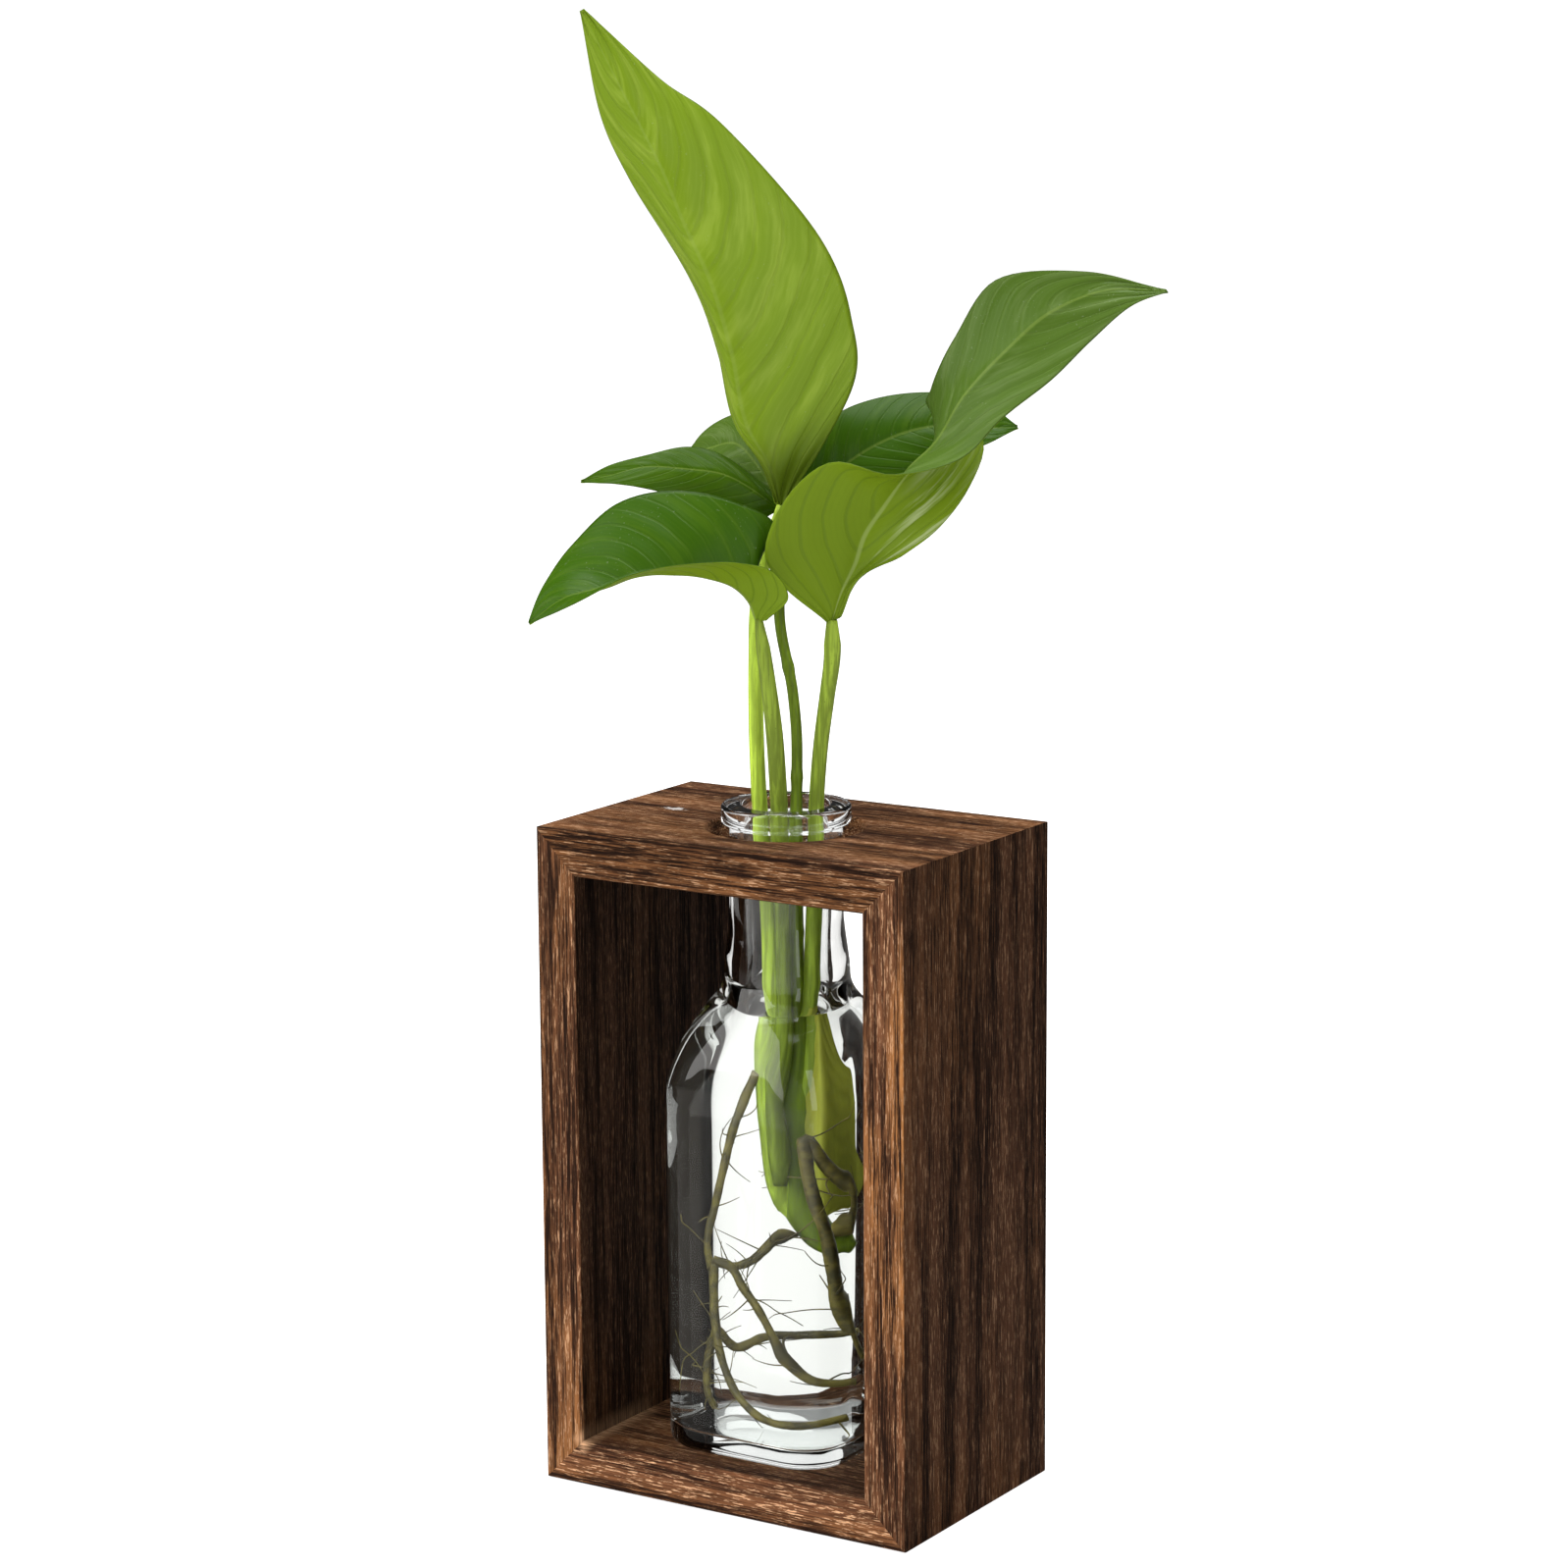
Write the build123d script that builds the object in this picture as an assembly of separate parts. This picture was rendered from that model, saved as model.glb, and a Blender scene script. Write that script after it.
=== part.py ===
from build123d import *
from math import cos, radians, sin
import os

# A propagation vase: a square glass bottle stands in an open box frame of mitred boards,
# its neck comes up through a round hole in the top board, and a leafy cutting roots in it.
# Millimetres, +Z up, X to the right seen from the front, -Y towards the front.
# The origin is the centre of the base board's underside.

# Box frame
frame_width = 110.0
frame_depth = 73.0
frame_height = 175.0
board_thickness = 12.0
board_edge_radius = 0.8
neck_hole_radius = 20.5
hole_edge_chamfer = 0.5

# Glass bottle
bottle_forward = 3.0
body_width = 53.0
body_corner_radius = 13.5
body_height = 96.0
shoulder_height = 25.0
neck_foot_radius = 16.6
shoulder_step = 0.15
neck_radius = 14.6
neck_flare_height = 22.0
lip_radius = 16.8
lip_height = 5.0
lip_rounding = 1.6
lip_above_board = 6.0
mouth_radius = 10.8
side_wall = 2.8
glass_floor = 4.5
heel_radius = 3.0
inner_heel = 2.0

# Cutting
spray_turn = 32.5
stem_radius = 2.2
stalk_radius = 1.6
root_radius = 0.9
root_tip_radius = 0.45
stalk_sides = 12
root_sides = 8
sheath_length = 50.0
seat_gap = 0.25

# One overrun serves every cut
overrun = 2.0

frame_top = frame_height
bottle_x = 0.0
bottle_y = -bottle_forward
bottle_bottom = board_thickness
shoulder_start = bottle_bottom + body_height
neck_foot = shoulder_start + shoulder_height
bottle_top = frame_top + lip_above_board
lip_bottom = bottle_top - lip_height
inner_width = body_width - 2 * side_wall
inner_corner_radius = body_corner_radius - side_wall
inner_floor = bottle_bottom + glass_floor


def board(length):
    """A board lying along X at the origin, mitred at both ends, its outer face up."""
    plank = Box(length, frame_depth, board_thickness, align=(Align.CENTER, Align.CENTER, Align.MAX))
    plank = fillet(plank.edges().filter_by(Axis.X), board_edge_radius)
    outer = length / 2
    inner = outer - board_thickness
    mitred_side = Polyline(
        (-outer, 0), (outer, 0), (inner, -board_thickness), (-inner, -board_thickness), close=True
    )
    template = extrude(Plane.XZ * make_face(mitred_side), frame_depth / 2 + overrun, both=True)
    return plank & template


def top_board():
    lid = Pos(0, 0, frame_top) * board(frame_width)
    neck_hole = Pos(bottle_x, bottle_y, frame_top + overrun) * Cylinder(
        neck_hole_radius, board_thickness + 2 * overrun, align=(Align.CENTER, Align.CENTER, Align.MAX)
    )
    lid = lid - neck_hole
    round_edges = lid.edges().filter_by(GeomType.CIRCLE)
    rims = round_edges.filter_by(lambda edge: edge.radius > board_edge_radius + hole_edge_chamfer)
    return chamfer(rims, hole_edge_chamfer)


def base_board():
    return Rot(X=180) * board(frame_width)


def side_board(side):
    standing = Rot(Y=90 * side) * board(frame_height)
    return Pos(side * frame_width / 2, 0, frame_height / 2) * standing


# Shoulder sections from the body up to the neck: height, width and roundness, each a share.
# Roundness 1 is a circle, and the body's own roundness is where the shoulder starts.
shoulder_shares = (
    (0.00, 0.00, 0.00),
    (0.28, 0.03, 0.08),
    (0.50, 0.11, 0.28),
    (0.69, 0.27, 0.52),
    (0.86, 0.57, 0.80),
    (1.00, 1.00, 0.995),
)
# A rounded edge is turned in this many flats
rounding_flats = 3


def section(width, corner, height):
    return Pos(bottle_x, bottle_y, height) * RectangleRounded(width, width, corner)


def heel_sections(width, corner, bottom, radius):
    """The rounded bottom edge: the outline draws in by the radius along a quarter circle."""
    outlines = []
    for step in range(rounding_flats):
        turned = radians(90 * step / rounding_flats)
        inset = radius * (1 - sin(turned))
        rise = radius * (1 - cos(turned))
        outlines.append(section(width - 2 * inset, corner - inset, bottom + rise))
    return outlines


def shoulder_sections(width, corner, foot):
    """From the rounded square of the body to the round foot of the neck."""
    body_roundness = 2 * corner / width
    outlines = []
    for height_share, narrowing_share, rounding_share in shoulder_shares:
        narrowed = width + narrowing_share * (2 * foot - width)
        roundness = body_roundness + rounding_share * (1 - body_roundness)
        height = shoulder_start + height_share * shoulder_height
        outlines.append(section(narrowed, roundness * narrowed / 2, height))
    return outlines


def glass_block(width, corner, foot, bottom, heel):
    """The body and shoulder as one solid, its bottom edge rounded and its top a step wider
    than the round foot that meets it."""
    straight_foot = section(width, corner, bottom + heel)
    outlines = heel_sections(width, corner, bottom, heel) + [straight_foot]
    return loft(outlines + shoulder_sections(width, corner, foot + shoulder_step), ruled=True)


def rounded_rim(radius, bottom, top, rounding):
    """Half the outline of a ring, from its lower to its upper face round its outer side."""
    points = []
    for step in range(rounding_flats + 1):
        turned = radians(90 * step / rounding_flats)
        points.append((radius - rounding * (1 - sin(turned)), bottom + rounding * (1 - cos(turned))))
    for step in range(rounding_flats + 1):
        turned = radians(90 * step / rounding_flats)
        points.append((radius - rounding * (1 - cos(turned)), top - rounding * (1 - sin(turned))))
    return points


def neck_outside():
    """The neck's flare, its straight run and the heavy rounded lip, turned about the axis."""
    flare = []
    for step in range(rounding_flats + 1):
        turned = radians(180 * step / rounding_flats)
        swell = (neck_foot_radius - neck_radius) * (1 + cos(turned)) / 2
        flare.append((neck_radius + swell, neck_foot + neck_flare_height * step / rounding_flats))
    lip = rounded_rim(lip_radius, lip_bottom, bottle_top, lip_rounding)
    outline = [(0, neck_foot)] + flare + [(neck_radius, lip_bottom)] + lip + [(0, bottle_top)]
    profile = Plane.XZ * make_face(Polyline(*outline, close=True))
    return Pos(bottle_x, bottle_y) * revolve(profile, Axis.Z)


def bottle():
    outside = glass_block(body_width, body_corner_radius, neck_foot_radius, bottle_bottom, heel_radius)
    inside = glass_block(inner_width, inner_corner_radius, mouth_radius, inner_floor, inner_heel)
    bore_bottom = neck_foot - overrun
    bore = Pos(bottle_x, bottle_y, bore_bottom) * Cylinder(
        mouth_radius, bottle_top + overrun - bore_bottom, align=(Align.CENTER, Align.CENTER, Align.MIN)
    )
    return outside + neck_outside() - inside - bore


# Places on the cutting are in its own frame, turned to face the frame's front right corner:
# across to the right, towards the viewer, and up.
def spray_point(across, toward, up):
    turn = radians(spray_turn)
    x = bottle_x + across * cos(turn) + toward * sin(turn)
    y = bottle_y + across * sin(turn) - toward * cos(turn)
    return Vector(x, y, up)


def spray_direction(shares):
    return spray_point(*shares) - spray_point(0, 0, 0)


def route(shares, reach):
    """Points from rows of shares: across and toward of the reach, and up from the glass floor,
    share 0, to the mouth, share 1, and on above it."""
    rise = bottle_top - inner_floor
    return [
        spray_point(reach * across, reach * toward, inner_floor + rise * up)
        for across, toward, up in shares
    ]


def tube(points, radii, sides):
    """A stalk or root lofted through many-sided outlines that stand square to its route."""
    sections = []
    side = Vector(0, 1, 0)
    last = len(points) - 1
    for index, (point, radius) in enumerate(zip(points, radii)):
        ahead = points[min(index + 1, last)] - points[max(index - 1, 0)]
        side = (side - ahead.normalized() * side.dot(ahead.normalized())).normalized()
        sections.append(Plane(origin=point, x_dir=side, z_dir=ahead) * RegularPolygon(radius, sides))
    return loft(sections, ruled=True)


def tapered(first, final, count):
    return [first + (final - first) * index / (count - 1) for index in range(count)]


# Stem and stalk routes, across and toward as shares of the mouth's radius
stem_shares = (
    (0.73, 0.09, 0.243),
    (0.52, 0.07, 0.271),
    (0.28, 0.04, 0.313),
    (0.02, 0.02, 0.368),
    (-0.07, 0.00, 0.435),
    (-0.02, 0.00, 0.508),
    (0.07, -0.08, 0.751),
    (0.12, -0.10, 0.900),
    (0.26, -0.22, 1.030),
    (0.26, -0.30, 1.109),
    (0.18, -0.37, 1.170),
    (-0.12, -0.56, 1.286),
    (-0.11, -0.65, 1.359),
)
# Thickness along the stem, with the swollen joint that the roots grow from
stem_swell_shares = (0.95, 1.10, 1.20, 1.30, 1.25, 1.00, 0.80, 0.72, 0.66, 0.64, 0.62, 0.64, 0.68)

stalk_shares = {
    "tall_leaf": (
        (-0.41, 0.10, 0.490),
        (-0.51, 0.22, 0.590),
        (-0.47, 0.28, 0.733),
        (-0.45, 0.24, 0.842),
        (-0.64, 0.09, 1.018),
        (-0.69, 0.14, 1.220),
        (-0.64, 0.00, 1.322),
        (-0.37, -0.20, 1.401),
        (-0.08, -0.06, 1.466),
    ),
    "front_left_leaf": (
        (-0.08, 0.39, 0.544),
        (-0.13, 0.36, 0.690),
        (-0.15, 0.45, 0.872),
        (-0.19, 0.885, 1.036),
        (-0.27, 1.00, 1.122),
        (-0.42, 1.07, 1.210),
        (-0.61, 1.10, 1.302),
    ),
    "twisted_leaf": (
        (0.40, 0.06, 0.510),
        (0.46, 0.10, 0.610),
        (0.44, 0.13, 0.842),
        (0.64, 0.10, 0.972),
        (0.83, 0.09, 1.090),
        (1.00, 0.19, 1.176),
        (1.11, 0.28, 1.231),
        (1.11, 0.37, 1.291),
    ),
    "small_left_leaf": (
        (-0.12, -0.52, 1.364),
        (-0.14, -0.43, 1.407),
        (-0.14, -0.39, 1.460),
    ),
    "rear_left_leaf": (
        (-0.20, -0.73, 1.364),
        (-0.15, -0.85, 1.413),
        (-0.11, -0.93, 1.458),
    ),
    "rear_right_leaf": (
        (0.01, -0.73, 1.364),
        (0.23, -0.93, 1.419),
        (0.43, -1.09, 1.470),
    ),
}
# Thickness of each stalk at its foot and at its leaf, as shares of a stalk's radius
stalk_thickness_shares = {
    "tall_leaf": (1.05, 0.95),
    "front_left_leaf": (1.15, 1.05),
    "twisted_leaf": (1.20, 1.35),
    "small_left_leaf": (0.50, 0.55),
    "rear_left_leaf": (0.50, 0.55),
    "rear_right_leaf": (0.50, 0.60),
}

# Root routes: what carries the root and at which of that route's places it starts, then the
# places it passes, across and toward as shares of half the bottle's inner width
root_shares = {
    "root_1": ("vine_stem", 5, (
        (0.20, 0.04, 0.392), (0.31, 0.12, 0.325), (0.38, 0.17, 0.270), (0.42, 0.17, 0.210),
        (0.44, 0.17, 0.149), (0.49, 0.13, 0.100), (0.53, 0.08, 0.070),
    )),
    "root_2": ("vine_stem", 4, (
        (0.34, -0.10, 0.425), (0.47, -0.12, 0.390), (0.57, -0.10, 0.350),
    )),
    "root_3": ("tall_leaf_stalk", 1, (
        (-0.50, 0.14, 0.500), (-0.62, 0.16, 0.430), (-0.74, 0.16, 0.360), (-0.82, 0.14, 0.310),
        (-0.84, 0.12, 0.285),
    )),
    "root_4": ("vine_stem", 2, (
        (-0.08, 0.21, 0.280), (-0.25, 0.24, 0.257), (-0.50, 0.22, 0.265), (-0.72, 0.17, 0.275),
    )),
    "root_5": ("root_4", 3, (
        (-0.42, 0.30, 0.240), (-0.26, 0.32, 0.215), (-0.10, 0.32, 0.170), (0.04, 0.32, 0.118),
        (0.22, 0.28, 0.080), (0.48, 0.24, 0.068),
    )),
    "root_6": ("root_4", 4, (
        (-0.70, 0.14, 0.220), (-0.67, 0.12, 0.160), (-0.60, 0.10, 0.110), (-0.46, 0.12, 0.062),
        (-0.22, 0.16, 0.030), (0.10, 0.18, 0.022), (0.44, 0.14, 0.024),
    )),
    "root_7": ("root_6", 3, (
        (-0.44, 0.04, 0.130), (-0.10, 0.00, 0.146), (0.20, -0.02, 0.152), (0.42, 0.00, 0.150),
    )),
    "root_8": ("root_6", 2, (
        (-0.76, 0.09, 0.125), (-0.80, 0.08, 0.085), (-0.78, 0.08, 0.050), (-0.70, 0.08, 0.030),
    )),
}


# The blunt tip of a leaf, as a share of the section before it
tip_share = 0.06
# Thickness of a blade at its midrib, as a share of its length, by its stalk and at its tip
midrib_share = 0.013
tip_midrib_share = 0.007
# Thickness at the margins, as a share of the thickness at the midrib
margin_share = 0.3
# The first sides of a blade's ring are its upper face, one each side of the midrib
upper_sides = 2
# Facets along a leaf from one row of its table to the next
facets_a_row = 2

# Each leaf is a list of cross sections from its stalk to its tip. A section has its left edge,
# its midrib and its right edge, each as across, toward and up from the foot of the leaf, in shares
# of the leaf's length. The last row is the tip.
leaf_shares = {
    "tall_leaf": (
        ((-0.01, 0.00, 0.01), (0.00, 0.00, 0.00), (0.02, 0.00, 0.02)),
        ((-0.04, -0.01, 0.09), (-0.02, 0.01, 0.08), (0.08, -0.02, 0.11)),
        ((-0.08, -0.03, 0.15), (-0.06, 0.01, 0.15), (0.14, -0.04, 0.22)),
        ((-0.12, -0.06, 0.29), (-0.09, 0.00, 0.29), (0.14, -0.06, 0.36)),
        ((-0.17, -0.08, 0.42), (-0.13, -0.01, 0.43), (0.09, -0.08, 0.49)),
        ((-0.22, -0.10, 0.52), (-0.18, -0.03, 0.54), (0.00, -0.08, 0.61)),
        ((-0.28, -0.11, 0.62), (-0.22, -0.04, 0.64), (-0.11, -0.08, 0.73)),
        ((-0.34, -0.11, 0.74), (-0.29, -0.06, 0.78), (-0.22, -0.08, 0.81)),
        (-0.37, -0.08, 0.94),
    ),
    "twisted_leaf": (
        ((-0.01, 0.01, 0.00), (0.00, 0.00, 0.00), (0.02, 0.00, 0.01)),
        ((-0.10, 0.05, 0.08), (0.02, 0.00, 0.06), (0.06, 0.02, 0.10)),
        ((-0.14, 0.07, 0.16), (0.05, -0.01, 0.12), (0.15, 0.03, 0.15)),
        ((-0.10, 0.07, 0.26), (0.07, -0.01, 0.18), (0.22, 0.03, 0.20)),
        ((-0.01, 0.08, 0.34), (0.11, -0.01, 0.24), (0.29, -0.01, 0.28)),
        ((0.12, 0.08, 0.32), (0.16, 0.00, 0.31), (0.32, -0.10, 0.37)),
        ((0.25, 0.08, 0.35), (0.22, 0.00, 0.37), (0.22, -0.13, 0.43)),
        ((0.35, 0.07, 0.43), (0.28, 0.00, 0.47), (0.22, -0.10, 0.48)),
        ((0.46, 0.05, 0.51), (0.37, 0.00, 0.57), (0.26, -0.07, 0.59)),
        ((0.54, 0.03, 0.59), (0.45, -0.01, 0.64), (0.34, -0.05, 0.71)),
        ((0.62, 0.02, 0.66), (0.57, -0.01, 0.69), (0.53, -0.03, 0.73)),
        (0.70, 0.00, 0.69),
    ),
    "rear_right_leaf": (
        ((-0.03, 0.00, 0.02), (0.00, 0.00, 0.00), (0.03, 0.00, -0.01)),
        ((0.03, -0.03, 0.21), (0.14, 0.00, 0.11), (0.27, 0.03, 0.02)),
        ((0.14, -0.10, 0.35), (0.29, -0.03, 0.21), (0.44, 0.03, 0.07)),
        ((0.35, -0.17, 0.43), (0.49, -0.07, 0.29), (0.59, 0.00, 0.13)),
        ((0.57, -0.21, 0.44), (0.66, -0.10, 0.31), (0.72, -0.03, 0.19)),
        ((0.80, -0.21, 0.41), (0.83, -0.14, 0.29), (0.84, -0.07, 0.24)),
        (0.96, -0.17, 0.29),
    ),
    "front_left_leaf": (
        ((0.03, 0.03, 0.00), (0.00, 0.00, 0.00), (-0.02, -0.03, 0.01)),
        ((0.12, 0.10, 0.10), (-0.03, 0.00, 0.08), (0.01, -0.10, 0.24)),
        ((0.07, 0.13, 0.21), (-0.09, 0.02, 0.14), (0.07, -0.12, 0.36)),
        ((-0.08, 0.16, 0.26), (-0.20, 0.03, 0.18), (-0.10, -0.12, 0.46)),
        ((-0.28, 0.19, 0.25), (-0.32, 0.06, 0.20), (-0.32, -0.14, 0.50)),
        ((-0.48, 0.22, 0.21), (-0.47, 0.08, 0.20), (-0.56, -0.12, 0.46)),
        ((-0.62, 0.22, 0.16), (-0.62, 0.10, 0.15), (-0.75, -0.10, 0.30)),
        ((-0.78, 0.17, 0.08), (-0.77, 0.11, 0.11), (-0.85, 0.00, 0.16)),
        (-0.91, 0.11, 0.01),
    ),
    "small_left_leaf": (
        ((-0.02, 0.00, -0.02), (0.00, 0.00, 0.00), (0.01, 0.00, 0.03)),
        ((-0.11, 0.02, -0.06), (-0.10, 0.00, 0.08), (-0.07, -0.08, 0.12)),
        ((-0.28, 0.04, 0.00), (-0.26, 0.00, 0.17), (-0.24, -0.10, 0.24)),
        ((-0.49, 0.05, 0.07), (-0.45, 0.00, 0.20), (-0.42, -0.10, 0.29)),
        ((-0.70, 0.06, 0.12), (-0.66, 0.00, 0.21), (-0.62, -0.06, 0.27)),
        ((-0.85, 0.04, 0.14), (-0.82, 0.00, 0.17), (-0.82, -0.04, 0.22)),
        (-0.96, -0.02, 0.14),
    ),
    "rear_left_leaf": (
        ((-0.02, 0.00, -0.01), (0.00, 0.00, 0.00), (0.01, 0.00, 0.03)),
        ((-0.21, -0.08, 0.06), (-0.11, -0.12, 0.20), (-0.02, -0.20, 0.30)),
        ((-0.33, -0.16, 0.11), (-0.22, -0.24, 0.30), (-0.14, -0.36, 0.43)),
        ((-0.46, -0.24, 0.13), (-0.34, -0.36, 0.27), (-0.26, -0.46, 0.41)),
        ((-0.53, -0.34, 0.10), (-0.46, -0.44, 0.21), (-0.42, -0.52, 0.30)),
        (-0.55, -0.48, 0.08),
    ),
}

# The split sheath wrapped round the foot of the twisted leaf's stalk, from its top down to its
# cut edge, as shares of its length like a leaf's. It hangs from a place on the stalks' own routes.
sheath_shares = (
    ((-0.05, -0.03, 0.00), (0.00, 0.00, 0.00), (0.05, -0.03, 0.00)),
    ((-0.07, -0.04, -0.30), (0.00, 0.01, -0.30), (0.07, -0.04, -0.30)),
    ((-0.08, -0.04, -0.64), (0.00, 0.01, -0.64), (0.08, -0.04, -0.64)),
    ((-0.08, -0.03, -0.96), (0.00, 0.01, -0.96), (0.07, -0.03, -0.96)),
    (0.00, 0.01, -1.00),
)
sheath_top_shares = ((0.47, 0.44, 0.650),)

leaf_length = {
    "tall_leaf": 132.0,
    "twisted_leaf": 120.0,
    "rear_right_leaf": 58.0,
    "front_left_leaf": 63.0,
    "small_left_leaf": 52.0,
    "rear_left_leaf": 50.0,
}


def slope_at(points, knots, index):
    """How a line runs past one of its points, judged by the neighbours on both sides."""
    before = max(index - 1, 0)
    after = min(index + 1, len(points) - 1)
    return (points[after] - points[before]) / (knots[after] - knots[before])


def along_line(points, knots, index, part):
    """A place on the smooth cubic from one point to the next, the part running from 0 to 1."""
    run = knots[index + 1] - knots[index]
    blend = part * part * (3 - 2 * part)
    first_pull = slope_at(points, knots, index) * run * part * (1 - part) * (1 - part)
    second_pull = slope_at(points, knots, index + 1) * run * part * part * (part - 1)
    return points[index] + (points[index + 1] - points[index]) * blend + first_pull + second_pull


def blade_ring(left, rib, right, lengthwise, thickness):
    """One cross section of a blade. The upper face bends at the midrib, and the underside follows
    it along the middle of what both halves call down, thick at the midrib and thin at the margins."""
    left_down = lengthwise.cross(rib - left).normalized()
    right_down = lengthwise.cross(right - rib).normalized()
    down = (left_down + right_down).normalized() * thickness
    thin = down * margin_share
    return left, rib, right, right + thin, rib + down, left + thin


def flat_facets(rings):
    """A closed solid of flat triangles between neighbouring rings. Both faces of the blade are
    split along the same diagonals, so its thickness holds where it twists."""
    corners = []
    for left, rib, right, under_right, keel, under_left in (rings[0], rings[-1]):
        corners += [(left, rib, keel), (left, keel, under_left)]
        corners += [(rib, right, under_right), (rib, under_right, keel)]
    for near, far in zip(rings, rings[1:]):
        for start in range(len(near)):
            end = (start + 1) % len(near)
            if start < upper_sides:
                corners += [(near[start], near[end], far[end]), (near[start], far[end], far[start])]
            else:
                corners += [(near[start], near[end], far[start]), (near[end], far[end], far[start])]
    return Solid(Shell([Face(Wire.make_polygon(triangle, close=True)) for triangle in corners]))


def leaf(foot, length, rows):
    """A thin folded blade, smooth from foot to tip along its two edges and its midrib."""
    edges = [[foot + spray_direction(share) * length for share in row] for row in rows[:-1]]
    tip = foot + spray_direction(rows[-1]) * length
    left, rib, right = edges[-1]
    edges.append([tip + (left - rib) * tip_share, tip, tip + (right - rib) * tip_share])
    knots = [0]
    for near, far in zip(edges, edges[1:]):
        knots.append(knots[-1] + (far[1] - near[1]).length)
    steps = [(index, step / facets_a_row) for index in range(len(edges) - 1) for step in range(facets_a_row)]
    steps.append((len(edges) - 2, 1))
    lines = [[along_line(line, knots, index, part) for index, part in steps] for line in zip(*edges)]
    thicknesses = tapered(midrib_share * length, tip_midrib_share * length, len(steps))
    rings = []
    for index, (left, rib, right) in enumerate(zip(*lines)):
        lengthwise = lines[1][min(index + 1, len(steps) - 1)] - lines[1][max(index - 1, 0)]
        rings.append(blade_ring(left, rib, right, lengthwise, thicknesses[index]))
    return flat_facets(rings)


def leaf_foot(stalk, length, rows):
    """Where a leaf starts, so that its first section stands just clear of its stalk's end."""
    onward = (stalk[-1] - stalk[-2]).normalized()
    hang_back = max(-onward.dot(spray_direction(share) * length) for share in rows[0])
    return stalk[-1] + onward * (seat_gap + hang_back)


def branch(carrier, carrier_radius, place, onward):
    """The route of a root that starts just clear of the side of what carries it."""
    axis = (carrier[min(place + 1, len(carrier) - 1)] - carrier[place - 1]).normalized()
    heading = (onward[0] - carrier[place]).normalized()
    side = (heading - axis * heading.dot(axis)).normalized()
    lean = abs(heading.dot(axis))
    return [carrier[place] + side * (carrier_radius + seat_gap + lean * root_radius)] + onward


def cutting():
    """The stem, its leaf stalks, the leaves and the roots, each a piece of its own."""
    routes = {"vine_stem": route(stem_shares, mouth_radius)}
    radii = {"vine_stem": [stem_radius * share for share in stem_swell_shares]}
    for name, shares in stalk_shares.items():
        stalk = f"{name}_stalk"
        foot_share, leaf_share = stalk_thickness_shares[name]
        routes[stalk] = route(shares, mouth_radius)
        radii[stalk] = tapered(foot_share * stalk_radius, leaf_share * stalk_radius, len(shares))
    pieces = {name: tube(points, radii[name], stalk_sides) for name, points in routes.items()}
    for name, (carrier, place, shares) in root_shares.items():
        onward = route(shares, inner_width / 2)
        routes[name] = branch(routes[carrier], radii[carrier][place], place, onward)
        radii[name] = tapered(root_radius, root_tip_radius, len(routes[name]))
        pieces[name] = tube(routes[name], radii[name], root_sides)
    for name, rows in leaf_shares.items():
        length = leaf_length[name]
        pieces[name] = leaf(leaf_foot(routes[f"{name}_stalk"], length, rows), length, rows)
    pieces["stem_sheath"] = leaf(route(sheath_top_shares, mouth_radius)[0], sheath_length, sheath_shares)
    return pieces


def frame_boards():
    return {
        "top_board": top_board(),
        "base_board": base_board(),
        "left_side_board": side_board(-1),
        "right_side_board": side_board(1),
    }


os.makedirs("parts", exist_ok=True)
nodes = {**frame_boards(), "bottle": bottle(), **cutting()}
for name, solid in nodes.items():
    export_step(solid, f"parts/{name}.step")
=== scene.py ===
"""A glass bottle in a torched wooden box frame, with water and a rooted leafy cutting.

Metres, +Z up, X to the right seen from the front. The frame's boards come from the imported
model; the glass, the water and the plant are surfaces worked out here.
"""

import math

import bpy
import numpy as np
from bpy.props import FloatProperty, FloatVectorProperty, IntProperty, PointerProperty
from mathutils import Matrix, Vector


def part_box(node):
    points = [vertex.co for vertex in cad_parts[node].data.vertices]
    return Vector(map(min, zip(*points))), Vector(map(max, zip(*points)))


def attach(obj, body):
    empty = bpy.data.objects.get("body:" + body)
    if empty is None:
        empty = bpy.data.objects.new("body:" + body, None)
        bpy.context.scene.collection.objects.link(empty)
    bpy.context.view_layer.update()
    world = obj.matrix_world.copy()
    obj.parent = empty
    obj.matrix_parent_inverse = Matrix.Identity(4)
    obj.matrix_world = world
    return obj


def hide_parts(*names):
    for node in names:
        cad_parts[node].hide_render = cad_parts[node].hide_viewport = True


bl_info = {
    "name": "Propagation vase",
    "version": (1, 0, 0),
    "blender": (4, 5, 0),
    "location": "3D view > Sidebar > Vase",
    "description": "A glass bottle in a torched wooden frame with a rooted cutting",
    "category": "Object",
}

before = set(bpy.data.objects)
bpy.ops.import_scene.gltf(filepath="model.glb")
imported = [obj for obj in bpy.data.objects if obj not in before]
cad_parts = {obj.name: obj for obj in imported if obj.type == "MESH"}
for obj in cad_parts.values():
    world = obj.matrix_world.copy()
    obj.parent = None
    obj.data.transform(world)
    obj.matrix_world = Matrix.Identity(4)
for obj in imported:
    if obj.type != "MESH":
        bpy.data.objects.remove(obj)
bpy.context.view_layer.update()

mm = 0.001
frame_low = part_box("top_board")[0]
bottle_low, bottle_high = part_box("bottle")
bottle_x = (bottle_low.x + bottle_high.x) / 2
bottle_y = (bottle_low.y + bottle_high.y) / 2
bottle_bottom = bottle_low.z
bottle_top = bottle_high.z


def length(name, description, default):
    return FloatProperty(
        name=name, description=description, default=default, min=0.0, unit="LENGTH", precision=4
    )


def colour(name, description, default):
    return FloatVectorProperty(
        name=name, description=description, default=default, size=3, min=0.0, max=1.0, subtype="COLOR"
    )


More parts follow.
